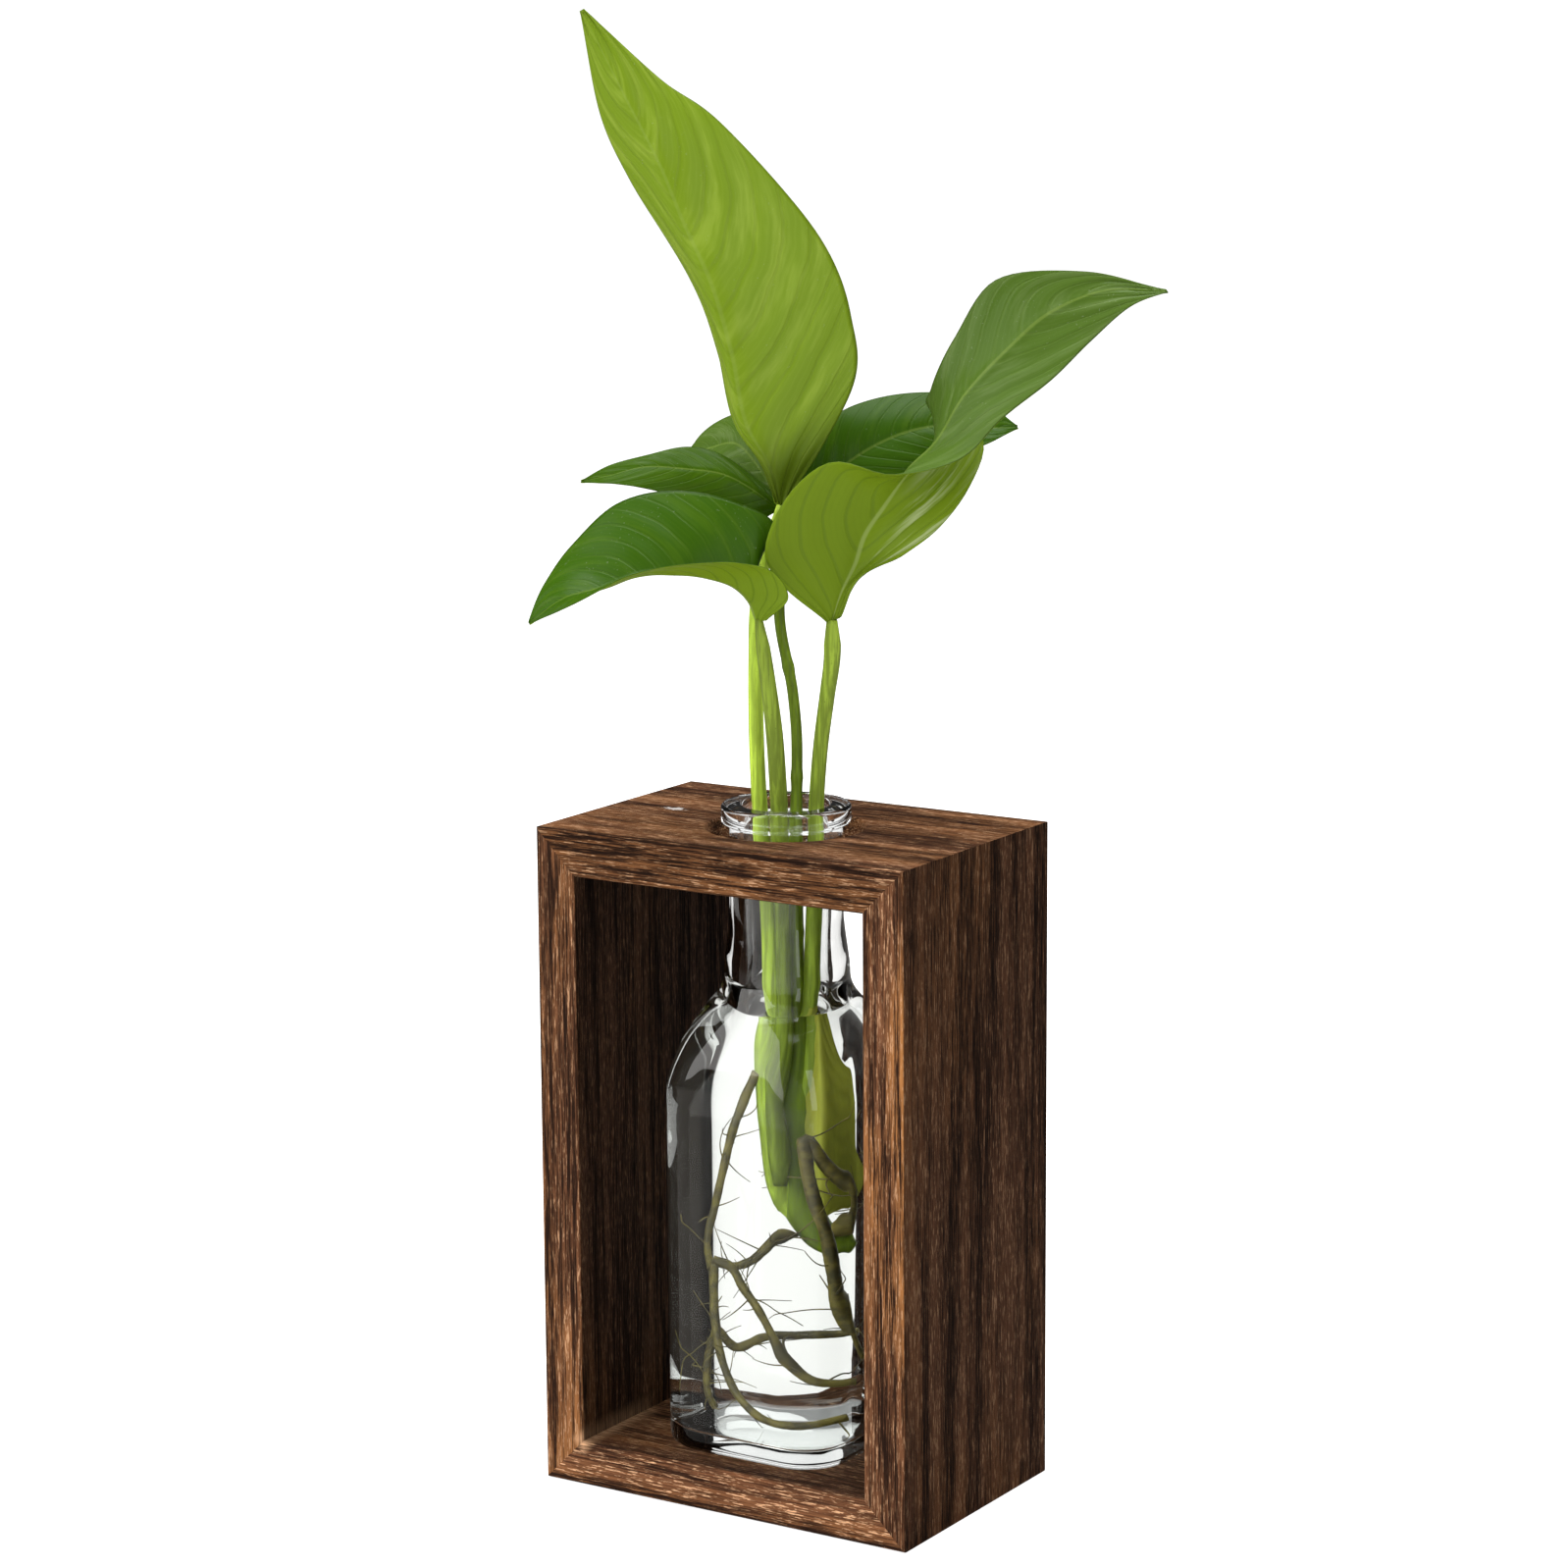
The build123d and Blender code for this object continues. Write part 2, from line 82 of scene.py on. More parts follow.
def angle(name, description, degrees):
    turn = math.radians(degrees)
    return FloatProperty(name=name, description=description, default=turn, subtype="ANGLE")


def number(name, description, default):
    return FloatProperty(name=name, description=description, default=default)


def location(name, description, default):
    return FloatVectorProperty(
        name=name, description=description, default=default, size=3, subtype="TRANSLATION", unit="LENGTH"
    )


class BottleSettings(bpy.types.PropertyGroup):
    body_width: length("Body width", "Width of the square body", bottle_high.x - bottle_low.x)
    corner_radius: length("Corner radius", "Radius of the body's upright corners", 13.5 * mm)
    body_height: length("Body height", "Height of the straight walls", 96 * mm)
    shoulder_height: length("Shoulder height", "Height over which square turns to round", 25 * mm)
    neck_foot_radius: length("Neck foot radius", "Radius where the neck leaves the shoulder", 16.6 * mm)
    neck_radius: length("Neck radius", "Radius of the neck below the lip", 14.6 * mm)
    flare_height: length("Flare height", "Height of the neck's flared foot", 22 * mm)
    lip_radius: length("Lip radius", "Outer radius of the lip", 16.8 * mm)
    lip_height: length("Lip height", "Height of the lip", 5 * mm)
    lip_rounding: length("Lip rounding", "Radius of the lip's edges", 1.0 * mm)
    mouth_radius: length("Mouth radius", "Radius of the bore through the neck", 10.8 * mm)
    mouth_rounding: length("Mouth rounding", "Radius of the mouth's inner edge", 1.4 * mm)
    wall: length("Wall", "Thickness of the side walls", 2.8 * mm)
    floor: length("Floor", "Thickness of the glass floor", 4.5 * mm)
    inner_drop: length("Inner drop", "How far the inner shoulder lies below the outer one", 7 * mm)
    heel_radius: length("Heel radius", "Radius of the bottom edge", 3 * mm)
    inner_heel: length("Inner heel", "Radius between inner wall and floor", 3 * mm)
    push_up: length("Push-up", "How far the underside domes upward", 0.8 * mm)
    water_level: length("Water level", "Height of the water above the table", 124.8 * mm)
    meniscus: length("Meniscus", "How far the water climbs its wall", 1.2 * mm)
    glass_tint: colour("Glass tint", "Colour of the clear glass", (0.975, 0.99, 0.985))
    water_tint: colour("Water tint", "Colour of the water", (0.985, 0.995, 0.98))


class WoodSettings(bpy.types.PropertyGroup):
    char: colour("Char", "Burnt valleys of the grain", (0.014, 0.0065, 0.004))
    brown: colour("Brown", "Torched wood", (0.135, 0.056, 0.026))
    amber: colour("Amber", "Less burnt wood", (0.30, 0.125, 0.040))
    tan: colour("Tan", "Grain brushed back to pale wood", (0.52, 0.30, 0.165))
    scuffed: colour("Scuffed", "Grey of the scuff on the top board", (0.55, 0.52, 0.50))
    ring_spacing: length("Ring spacing", "Distance between growth rings", 3.4 * mm)
    worn_place: location("Worn corner", "Inner corner at the left, rubbed pale", (-0.043, -0.012, 0.012))
    scuff_place: location("Scuff", "Small pale scuff on the top board", (-0.0375, 0.0015, 0.175))
    grain_depth: length("Grain depth", "Depth of the brushed grain", 0.12 * mm)


class PlantSettings(bpy.types.PropertyGroup):
    spray_turn: angle("Spray turn", "How far the cutting's own right is turned from the frame's", 32.5)
    stem_radius: length("Stem radius", "Radius of the vine's stem", 2.2 * mm)
    stalk_radius: length("Stalk radius", "Radius of a leaf stalk", 1.6 * mm)
    leaf_thickness: length("Leaf thickness", "Thickness of a blade", 0.5 * mm)
    midrib_depth: length("Midrib depth", "How far the midrib stands out underneath", 0.7 * mm)
    root_radius: length("Root radius", "Radius of a main root at its start", 1.35 * mm)
    root_tip_radius: length("Root tip radius", "Radius of a root's end", 1.0 * mm)
    hair_radius: length("Root hair radius", "Radius of the fine side roots", 0.22 * mm)
    hair_count: IntProperty(
        name="Root hairs", description="Number of fine side roots", default=110, min=0, max=400
    )
    stalk_colour: colour("Stalk", "Pale green of the stalks", (0.27, 0.38, 0.035))
    stem_colour: colour("Stem", "Darker green of the vine", (0.15, 0.23, 0.010))
    root_colour: colour("Root", "Olive brown of the roots", (0.095, 0.078, 0.012))
    sheath_colour: colour("Sheath", "Olive green of the leaf sheath", (0.38, 0.40, 0.05))


class StageSettings(bpy.types.PropertyGroup):
    camera_place: location("Camera place", "Where the camera stands", (0.605289, -0.954428, 0.401777))
    azimuth: angle("Azimuth", "Camera's turn round the vase", 32.488)
    elevation: angle("Elevation", "Camera's height as an angle", 10.836)
    roll: angle("Roll", "Camera's tilt about its own axis", -0.410)
    lens: number("Lens", "Focal length in millimetres on a 36 mm sensor", 102.97)
    floor_size: length("Floor size", "Side of the square floor", 8.0)
    floor_drop: length("Floor drop", "How far the floor lies below the base board", 0.0002)
    ambient: number("Ambient", "Soft light from all around on matt surfaces", 0.30)
    reflected: number("Reflected", "Brightness of the room in reflections", 0.06)
    backdrop: number("Backdrop", "Brightness of the room where the camera sees it", 1.1)
    flag_near: length("Flag start", "How far in front of the middle the dark cards start", 0.02)
    flag_gap: length("Flag gap", "How far to the side the dark cards start", 0.058)
    flag_far: length("Flag end", "How far behind the middle the dark cards end", 1.6)
    flag_spread: length("Flag spread", "How far to the side the dark cards end", 1.7)
    flag_near_height: length("Flag near height", "Height of the dark cards at their start", 0.11)
    flag_height: length("Flag height", "Height of the dark cards", 1.2)
    flag_foot: length("Flag foot", "How far to the side the right card's foot starts", 0.034)
    flag_foot_widening: number("Flag foot widening", "How much further to the side the foot ends", 3.3)
    flag_foot_end: length("Flag foot end", "How far behind the middle the right card's foot ends", 0.2)
    # The cards' faint glow, a painted dark tone seen through the glass's edges
    flag_tone: colour("Flag tone", "Dark brown grey of the cards", (0.030, 0.025, 0.021))
    flag_lift: length("Flag lift", "Height of the dark cards' feet above the floor", 0.0004)


def spray_points(settings, shares, reach, rise, base):
    """Rows of across, toward and up become places: across and toward are turned with the spray
    about the bottle's axis and stretched by the reach, up is stretched by the rise from the base."""
    shares = np.asarray(shares, float)
    across, toward, up = shares[..., 0] * reach, shares[..., 1] * reach, shares[..., 2] * rise + base
    turn = settings.spray_turn
    x = bottle_x + across * math.cos(turn) + toward * math.sin(turn)
    y = bottle_y + across * math.sin(turn) - toward * math.cos(turn)
    return np.stack([x, y, up], axis=-1)


def spray_steps(settings, shares, reach):
    """The same turn and stretch for steps from a place rather than for places."""
    origin = spray_points(settings, (0.0, 0.0, 0.0), reach, reach, 0.0)
    return spray_points(settings, shares, reach, reach, 0.0) - origin


def knots_of(line):
    """Running distance along a row of points, from 0."""
    return np.concatenate([[0.0], np.cumsum(np.linalg.norm(np.diff(line, axis=0), axis=1))])


def smooth_rows(rows, knots, samples):
    """A cubic through the rows at their knots: between two rows it leaves and arrives with the
    slopes that the neighbouring rows give, and it is read at the samples."""
    rows = np.asarray(rows, float)
    slopes = np.gradient(rows, knots, axis=0)
    place = np.clip(np.searchsorted(knots, samples, side="right") - 1, 0, len(knots) - 2)
    shape = (-1,) + (1,) * (rows.ndim - 1)
    run = (knots[place + 1] - knots[place]).reshape(shape)
    part = ((samples - knots[place]) / (knots[place + 1] - knots[place])).reshape(shape)
    blend = part * part * (3 - 2 * part)
    first_pull = part * (1 - part) ** 2 * run * slopes[place]
    second_pull = part * part * (part - 1) * run * slopes[place + 1]
    return rows[place] + (rows[place + 1] - rows[place]) * blend + first_pull + second_pull


def smooth_path(points, count):
    """Evenly spaced places on the smooth cubic through the points."""
    knots = knots_of(points)
    return smooth_rows(points, knots, np.linspace(0.0, knots[-1], count))


def unit(vectors):
    """The same directions, each of length one."""
    return vectors / np.maximum(np.linalg.norm(vectors, axis=-1, keepdims=True), 1e-12)


def bell(across, reach):
    """A bell curve: e to the power of minus the square of the distance over its reach."""
    return np.exp(-((across / reach) ** 2))


def put(name, data):
    """Sets a mesh, lamp or camera into the scene at the origin."""
    thing = bpy.data.objects.new(name, data)
    bpy.context.scene.collection.objects.link(thing)
    return thing


def skin_faces(rows, columns):
    """Faces of one closed skin: quads between neighbouring rings, and a fan over each end ring to
    the middle vertex that follows the grid's own."""
    row, column = np.meshgrid(np.arange(rows - 1), np.arange(columns), indexing="ij")
    beside = (column + 1) % columns
    low, high = row * columns, (row + 1) * columns
    corners = [low + column, low + beside, high + beside, high + column]
    quads = np.stack(corners, axis=-1).reshape(-1, 4)
    spoke = np.arange(columns)
    following = (spoke + 1) % columns
    last_ring = (rows - 1) * columns
    first_fan = np.stack([np.full(columns, rows * columns), following, spoke], axis=-1)
    last_middle = np.full(columns, rows * columns + 1)
    last_fan = np.stack([last_ring + spoke, last_ring + following, last_middle], axis=-1)
    return quads, np.concatenate([first_fan, last_fan])


def closed_skin(name, points, attributes=None):
    """A closed mesh from one grid of points, or from several of the same size. Each row is a ring,
    joined to the next row by quads, and the end rings are closed by fans to their middles. A skin
    whose rings turn the wrong way is turned over, so the faces point outwards."""
    grids = points if points.ndim == 4 else points[None]
    count, rows, columns = grids.shape[:3]
    quads, fans = skin_faces(rows, columns)
    middles = grids[:, [0, -1]].mean(axis=2)
    vertices = np.concatenate([grids.reshape(count, -1, 3), middles], axis=1)
    inner = vertices - vertices.mean(axis=1, keepdims=True)
    low, beside, far = (inner[:, quads[:, corner]] for corner in range(3))
    if (np.cross(low, beside) * far).sum(axis=(1, 2)).mean() < 0:
        quads, fans = quads[:, ::-1], fans[:, ::-1]
    shift = (np.arange(count) * vertices.shape[1])[:, None, None]
    faces = (quads[None] + shift).reshape(-1, 4).tolist() + (fans[None] + shift).reshape(-1, 3).tolist()
    mesh = bpy.data.meshes.new(name)
    mesh.from_pydata(vertices.reshape(-1, 3).tolist(), [], faces)
    for key, values in (attributes or {}).items():
        values = np.broadcast_to(values, (count, rows, columns))
        ends = values[:, [0, -1]].mean(axis=2)
        spread = np.concatenate([values.reshape(count, -1), ends], axis=1)
        layer = mesh.attributes.new(key, "FLOAT", "POINT")
        layer.data.foreach_set("value", spread.ravel().astype(np.float32))
    mesh.shade_smooth()
    mesh.update()
    return put(name, mesh)


def dress(piece, material, slot, body, *nodes):
    """Gives a finished piece its material and its body, and hides the CAD nodes it stands for. The slot
    is not used.
    """
    piece.data.materials.append(material)
    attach(piece, body)
    if nodes:
        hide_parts(*nodes)


# Width of the groove along a stalk, as an angle
groove_width = 0.5


def tube_points(path, radius, sides, groove=0.0):
    """Rings of points about a path: each ring stands square to the path and has the radius given for
    its place, drawn in on one side by the groove's share as a bell curve. The rings start from the
    direction that the path runs along least, so that they don't twist."""
    ahead = unit(np.gradient(path, axis=0))
    steady = np.linalg.eigh(ahead.T @ ahead)[1][:, 0]
    side = unit(steady - ahead * (ahead @ steady)[:, None])
    other = np.cross(ahead, side)
    turn = np.linspace(0.0, 2 * np.pi, sides, endpoint=False)
    size = np.broadcast_to(np.asarray(radius, float).reshape(len(path), -1), (len(path), sides))
    size = size * (1 - groove * bell(turn - np.pi, groove_width))
    spread = side[:, None] * np.cos(turn)[None, :, None] + other[:, None] * np.sin(turn)[None, :, None]
    return path[:, None] + spread * size[..., None]


def tube(name, path, radius, sides, groove=0.0):
    """A closed tube along a path."""
    return closed_skin(name, tube_points(path, radius, sides, groove))


class Reading:
    """What a node gives. A sum, difference or product with it adds one Math node."""

    def __init__(self, recipe, socket):
        self.recipe = recipe
        self.socket = socket

    def __add__(self, other):
        return self.recipe.math("ADD", self, other)

    def __sub__(self, other):
        return self.recipe.math("SUBTRACT", self, other)

    def __rsub__(self, other):
        return self.recipe.math("SUBTRACT", other, self)

    def __mul__(self, other):
        return self.recipe.math("MULTIPLY", self, other)


class Recipe:
    """The nodes of a material or a world in the making. Each call adds one node, feeds it and
    returns what it gives."""

    def __init__(self, name, kind="materials"):
        self.owner = getattr(bpy.data, kind).new(name)
        self.owner.use_nodes = True
        self.tree = self.owner.node_tree
        self.tree.nodes.clear()

    def add(self, kind, feeds, output=0, **settings):
        column, row = len(self.tree.nodes) % 8, len(self.tree.nodes) // 8
        node = self.tree.nodes.new(f"ShaderNode{kind}")
        node.location = (220 * column, -260 * row)
        for key, value in settings.items():
            setattr(node, key, value)
        for socket, value in feeds.items():
            if isinstance(value, Reading):
                self.tree.links.new(value.socket, node.inputs[socket])
            else:
                node.inputs[socket].default_value = value
        return Reading(self, node.outputs[output]) if node.outputs else None

    def math(self, operation, first, second=0.0, clamp=False):
        return self.add("Math", {0: first, 1: second}, operation=operation, use_clamp=clamp)

    def vector(self, operation, first, second, output=0):
        return self.add("VectorMath", {0: first, 1: second}, output=output, operation=operation)

    def mix(self, share, first, second):
        feeds = {0: share, 6: opaque(first), 7: opaque(second)}
        return self.add("Mix", feeds, output=2, data_type="RGBA")

    def coats(self, shade, *coats):
        """Lays coats of colour over a shade, each by its share."""
        for share, tone in coats:
            shade = self.mix(share, shade, tone)
        return shade

    def shift(self, value, low, high, new_low=0.0, new_high=1.0):
        """Goes smoothly from one value to another while the reading goes from low to high."""
        feeds = {0: value, 1: low, 2: high, 3: new_low, 4: new_high}
        return self.add("MapRange", feeds, clamp=True, interpolation_type="SMOOTHSTEP")

    def here(self):
        return self.add("TexCoord", {}, output="Object")

    def part(self, vector, axis):
        return self.add("SeparateXYZ", {0: vector}, output=axis)

    def attribute(self, name):
        return self.add("Attribute", {}, output="Fac", attribute_name=name)

    def ray(self, kind):
        return self.add("LightPath", {}, output=f"Is {kind} Ray")

    def seen(self):
        """One where the camera looks, straight or through glass."""
        return self.math("MAXIMUM", self.ray("Camera"), self.ray("Transmission"))

    def noise(self, vector, scale, detail=2.0, roughness=0.5):
        feeds = {"Vector": vector, "Scale": scale, "Detail": detail, "Roughness": roughness}
        return self.add("TexNoise", feeds)

    def bump(self, height, distance, strength):
        return self.add("Bump", {"Height": height, "Distance": distance, "Strength": strength})

    def surface(self, **feeds):
        return self.add("BsdfPrincipled", {key.replace("_", " "): value for key, value in feeds.items()})

    def finish(self, shader, kind="Material"):
        self.add(f"Output{kind}", {"Surface": shader})
        return self.owner


def opaque(value):
    """A colour with its alpha, unless it comes from a node."""
    return value if isinstance(value, Reading) else (*value, 1.0)


def dimmed(tone, share):
    """A colour times a share."""
    return tuple(share * value for value in tone)


# Noises of the wood: stretch along the grain, scale, detail and roughness, then where each starts
# and is full
wood_noises = {
    "bands": (0.05, 150.0, 3.0, 0.55, 0.34, 0.68),
    "lines": (0.03, 2400.0, 4.0, 0.72, 0.38, 0.64),
    "strokes": (0.12, 2700.0, 2.0, 0.6, 0.54, 0.63),
    "patches": (0.16, 55.0, 3.0, 0.5, 0.42, 0.64),
}
drift_noise = (0.10, 40.0, 3.0, 0.5)
scuff_noise = (700.0, 3.0, 0.7)
# Where the rings' middle lies beside and below a board, and how far the rings wander
pith_beside, pith_below, pith_change, ring_wander = 31 * mm, 55 * mm, 20 * mm, 20 * mm
# What bands, lines and rings add to the tone of the wood, and lines and strokes to its height
band_share, line_share, ring_share = 0.36, 0.50, 0.16
line_height, stroke_height = 0.6, 0.5
# How strongly the worn corner and the scuff show, and how much the wood mirrors
wear_share, scuff_share = 0.8, 0.75
wood_mirror = 0.03
# Reach of the worn corner and of the scuff, from where each fades, and how far the scuff is torn
worn_reach, worn_core = 5 * mm, 0.5 * mm
scuff_reach, scuff_core, scuff_tearing = 4.2 * mm, 3.4 * mm, 5 * mm
# How far behind the front the front edge's warmth and painted light reach, and from where they fade
front_reach, front_core = 0.5 * mm, 0.1 * mm
# What a board's seed is multiplied by to move its noise along each axis
seed_steps = (1.0, 0.7, 1.3)
# From which tone to which amber, tan strokes and brown show, and how fine lines break up the wear
warm_tones, pale_tones, brown_tones = (0.2, 0.7), (0.25, 0.75), (0.12, 0.88)
worn_lines = (0.0, 0.8, 0.35, 1.0)
# How the scuff is drawn out, how far inwards a face must look to take the painted inner shade, and the
# strength of the relief
scuff_stretch, inward_edges, wood_relief = (0.5, 1.0, 1.0), (0.5, 0.8), 0.8
# Roughness of burnt and of brushed wood
burnt_gloss, brushed_gloss = 0.70, 0.46


def torched_wood(name, wood, along, outward, seed, look):
    """Burnt and brushed wood. Noise stretched along the grain gives broad bands, fine lines and
    short pale strokes, and faint rings about a far pith bend among them. Painted light and shade
    then scale the colour: each board's face has its own painted brightness, the front edge is
    painted lighter and the inner face painted darker, for how the light falls on them."""
    band_warmth, stroke_wear, face_painted_shading, front_painted_light, inner_painted_shade, front_warmth = look
    recipe = Recipe(name)
    here = recipe.here()
    moved = recipe.vector("ADD", here, tuple(seed * step for step in seed_steps))

    def grain(stretch, *noise):
        stretches = [stretch if axis == along else 1.0 for axis in range(3)]
        return recipe.noise(recipe.vector("MULTIPLY", moved, stretches), *noise)

    bands, lines, strokes, patches = (
        recipe.shift(grain(*noise), low, high) for *noise, low, high in wood_noises.values()
    )
    x, y, z = (recipe.part(here, axis) for axis in range(3))
    side, up = ((y, z), (x, z), (x, y))[along]
    off_side = side + pith_beside * math.cos(seed)
    off_up = up + (pith_below + pith_change * math.sin(seed))
    radius = recipe.math("SQRT", off_side * off_side + off_up * off_up)
    radius = radius + grain(*drift_noise) * ring_wander
    rings = recipe.shift(recipe.math("SINE", radius * (2 * math.pi / wood.ring_spacing)), -1.0, 1.0)
    tone = bands * band_share + lines * line_share + rings * ring_share

    front = recipe.shift(y, frame_low.y + front_reach, frame_low.y + front_core)
    warmth = recipe.shift(front, 0.0, 1.0, band_warmth, front_warmth)
    warm = recipe.math("MULTIPLY", patches, warmth, clamp=True) * recipe.shift(tone, *warm_tones)
    pale = recipe.math("MULTIPLY", strokes * recipe.shift(tone, *pale_tones), stroke_wear, clamp=True)
    worn_x, worn_y, worn_z = wood.worn_place
    corner = recipe.math("ABSOLUTE", x - worn_x) + recipe.math("ABSOLUTE", z - worn_z)
    rubbed = recipe.shift(corner, worn_reach, worn_core) * recipe.shift(y, 0.0, worn_y)
    rubbed = rubbed * recipe.shift(lines, *worn_lines) * wear_share
    apart = recipe.vector("SUBTRACT", here, tuple(wood.scuff_place))
    apart = recipe.vector("MULTIPLY", apart, scuff_stretch)
    tearing = recipe.noise(here, *scuff_noise) * scuff_tearing
    torn = recipe.vector("LENGTH", apart, (0, 0, 0), 1) + tearing
    scuff = recipe.shift(torn, scuff_reach, scuff_core, 0.0, scuff_share)
    shade = recipe.mix(recipe.shift(tone, *brown_tones), wood.char, wood.brown)
    shade = recipe.coats(
        shade, (warm, wood.amber), (pale, wood.tan), (rubbed, wood.tan), (scuff, wood.scuffed)
    )
    # Painted light and shade: the face's own tone, a lighter front edge and darker inward faces scale
    # the colour
    axis, sign = outward
    normal = recipe.part(recipe.add("NewGeometry", {}, output="Normal"), axis)
    inner = recipe.shift(normal * -sign, *inward_edges)
    painted_shading = recipe.shift(front, 0.0, 1.0, face_painted_shading, front_painted_light) + inner * (inner_painted_shade - face_painted_shading)
    shade = recipe.add("VectorMath", {0: shade, "Scale": painted_shading}, operation="SCALE")
    gloss = recipe.shift(tone, 0.0, 1.0, burnt_gloss, brushed_gloss)
    relief = recipe.bump(lines * line_height + strokes * stroke_height, wood.grain_depth, wood_relief)
    return recipe.finish(recipe.surface(
        Base_Color=shade, Roughness=gloss, Specular_IOR_Level=wood_mirror, Normal=relief
    ))


# How much glass still mirrors where water lies against it, and how much water does
wet_mirror = (0.08, 0.08, 0.08)
water_mirror = (0.25, 0.25, 0.25)
glass_index, water_index = 1.5, 1.33


def see_through(name, tint, index, mirror=None):
    """Clear glass or water that refracts what the camera sees and lets the lamps' light through. The
    water overlaps the glass a little, so both mirror less where they touch, as wet glass does. With
    no mirror tone given, the wet attribute says where the glass mirrors less."""
    recipe = Recipe(name)
    tint = opaque(tint)
    mirror = opaque(mirror) if mirror else recipe.mix(recipe.attribute("wet"), (1, 1, 1), wet_mirror)
    clear = recipe.surface(
        Base_Color=tint, Roughness=0.0, IOR=index, Transmission_Weight=1.0, Specular_Tint=mirror
    )
    passing = recipe.add("BsdfTransparent", {"Color": tint})
    return recipe.finish(recipe.add("MixShader", {0: recipe.ray("Shadow"), 1: clear, 2: passing}))


def rounded_square(half_width, corner, turn):
    """How far a rounded square's outline lies from its middle in each direction. Near a side it is
    the half width over the cosine. Round a corner it is where the line from the middle leaves the
    corner's circle. Half width and corner may be columns, one for each ring."""
    folded = np.abs((turn + np.pi / 4) % (np.pi / 2) - np.pi / 4)
    flat = half_width / np.cos(folded)
    edge = half_width - corner
    reach = np.maximum(corner**2 - edge**2 * (1 - np.sin(2 * folded)), 0.0)
    bend = edge * (np.cos(folded) + np.sin(folded)) + np.sqrt(reach)
    return np.where(half_width * np.tan(folded) <= edge, flat, bend)


# Rows of the shoulder: shares of its height, of the way in to the neck, and of the way to round
shoulder_shares = (
    (-0.10, 0.00, 0.00),
    (0.04, 0.02, 0.02),
    (0.22, 0.09, 0.12),
    (0.42, 0.20, 0.32),
    (0.60, 0.36, 0.56),
    (0.74, 0.53, 0.74),
    (0.86, 0.72, 0.90),
    (0.96, 0.89, 0.98),
)
# Where the neck's flare starts, as a share of its height, and two rows under the lip: how far they
# lie outside the neck and below the lip
flare_start = 0.08
lip_step = ((0.0, 0.8 * mm), (0.25 * mm, 0.15 * mm))
# Rows of the bore: height above the inner shoulder and flare. The last lies bore_end below the mouth
bore_rows = (
    (1.2 * mm, 0.9 * mm), (4 * mm, 0.35 * mm), (8 * mm, 0.08 * mm), (16 * mm, 0.0), (26 * mm, 0.0),
    (38 * mm, 0.0), (0.0, 0.0),
)
bore_end = 2.5 * mm
# Rows on each stretch of the glass, and where the rows of a floor or of the water's surface end
heel_steps, wall_steps, floor_steps, water_steps = 10, 18, 14, 16
flare_steps, lip_steps, mouth_steps = 6, 9, 8
outer_steps, inner_steps = 60, 80
middle_share, floor_edge_share = 0.02, 0.97


def quarter(radius, count):
    """Insets and rises round a quarter circle."""
    turned = np.linspace(0.0, np.pi / 2, count)
    return radius * (1 - np.sin(turned)), radius * (1 - np.cos(turned))


def profile_rows(half, roundness, height):
    """Columns of half width, roundness and height, each given as a row or as one number."""
    return np.stack(np.broadcast_arrays(half, roundness, height), axis=1)


def vessel_profile(settings, width, corner, foot, bottom, heel, drop=0.0):
    """Rows of half width, roundness and height from the floor's edge up to the foot of the neck.
    The heel is a quarter circle, the wall is straight, and the shoulder is a smooth cubic."""
    inset, rise = quarter(heel, heel_steps)
    half = width / 2
    heel_rows = profile_rows(half - inset, (corner - inset) / (half - inset), bottom + rise)
    start = settings.body_height + bottle_bottom - drop
    up, narrowing, rounding = np.array(shoulder_shares).T
    wall_up = np.linspace(bottom + heel, start + up[0] * settings.shoulder_height, wall_steps)[1:-1]
    wall_rows = profile_rows(half, corner / half, wall_up)
    narrow = half + narrowing * (foot - half)
    roundness = corner / half + rounding * (1 - corner / half)
    return heel_rows, wall_rows, profile_rows(narrow, roundness, start + up * settings.shoulder_height)


def bottle_profile(settings):
    """Rows of half width, roundness and height over the whole skin of the glass, from the middle of
    the underside up the outside, over the lip and down the inside to the middle of the floor. With
    them comes which rows lie under water. The neck's foot swells as half a cosine wave."""
    foot, neck = settings.neck_foot_radius, settings.neck_radius
    foot_height = bottle_bottom + settings.body_height + settings.shoulder_height
    heel, wall, shoulder = vessel_profile(
        settings, settings.body_width, settings.corner_radius, foot, bottle_bottom, settings.heel_radius
    )
    flare = np.linspace(flare_start, 1.0, flare_steps)
    swell = (foot - neck) * (1 + np.cos(np.pi * flare)) / 2
    neck_rows = profile_rows(neck + swell, 1.0, foot_height + flare * settings.flare_height)
    shoulder = smoothed(np.concatenate([shoulder, neck_rows]), outer_steps)
    lip_bottom = bottle_top - settings.lip_height
    step, step_down = np.array(lip_step).T
    inset, rise = quarter(settings.lip_rounding, lip_steps)
    soft, drop = quarter(settings.mouth_rounding, mouth_steps)
    outside = np.concatenate([
        floor_rows(heel[0], settings.push_up), heel, wall, shoulder,
        profile_rows(neck + step, 1.0, lip_bottom - step_down),
        profile_rows(settings.lip_radius - inset, 1.0, lip_bottom + rise),
        profile_rows(settings.lip_radius - rise, 1.0, bottle_top - inset),
        profile_rows(settings.mouth_radius + soft, 1.0, bottle_top - drop),
    ])
    inside = inner_profile(settings)
    wet = np.concatenate([np.zeros(len(outside)), inside[:, 2] < settings.water_level])
    return np.concatenate([outside, inside]), wet


def floor_rows(edge, push_up):
    """Rows from the middle of a floor out to its edge, domed upwards by the push-up as the square of
    a parabola."""
    share = np.linspace(middle_share, floor_edge_share, floor_steps)
    return profile_rows(edge[0] * share, edge[1], edge[2] + push_up * (1 - share**2) ** 2)


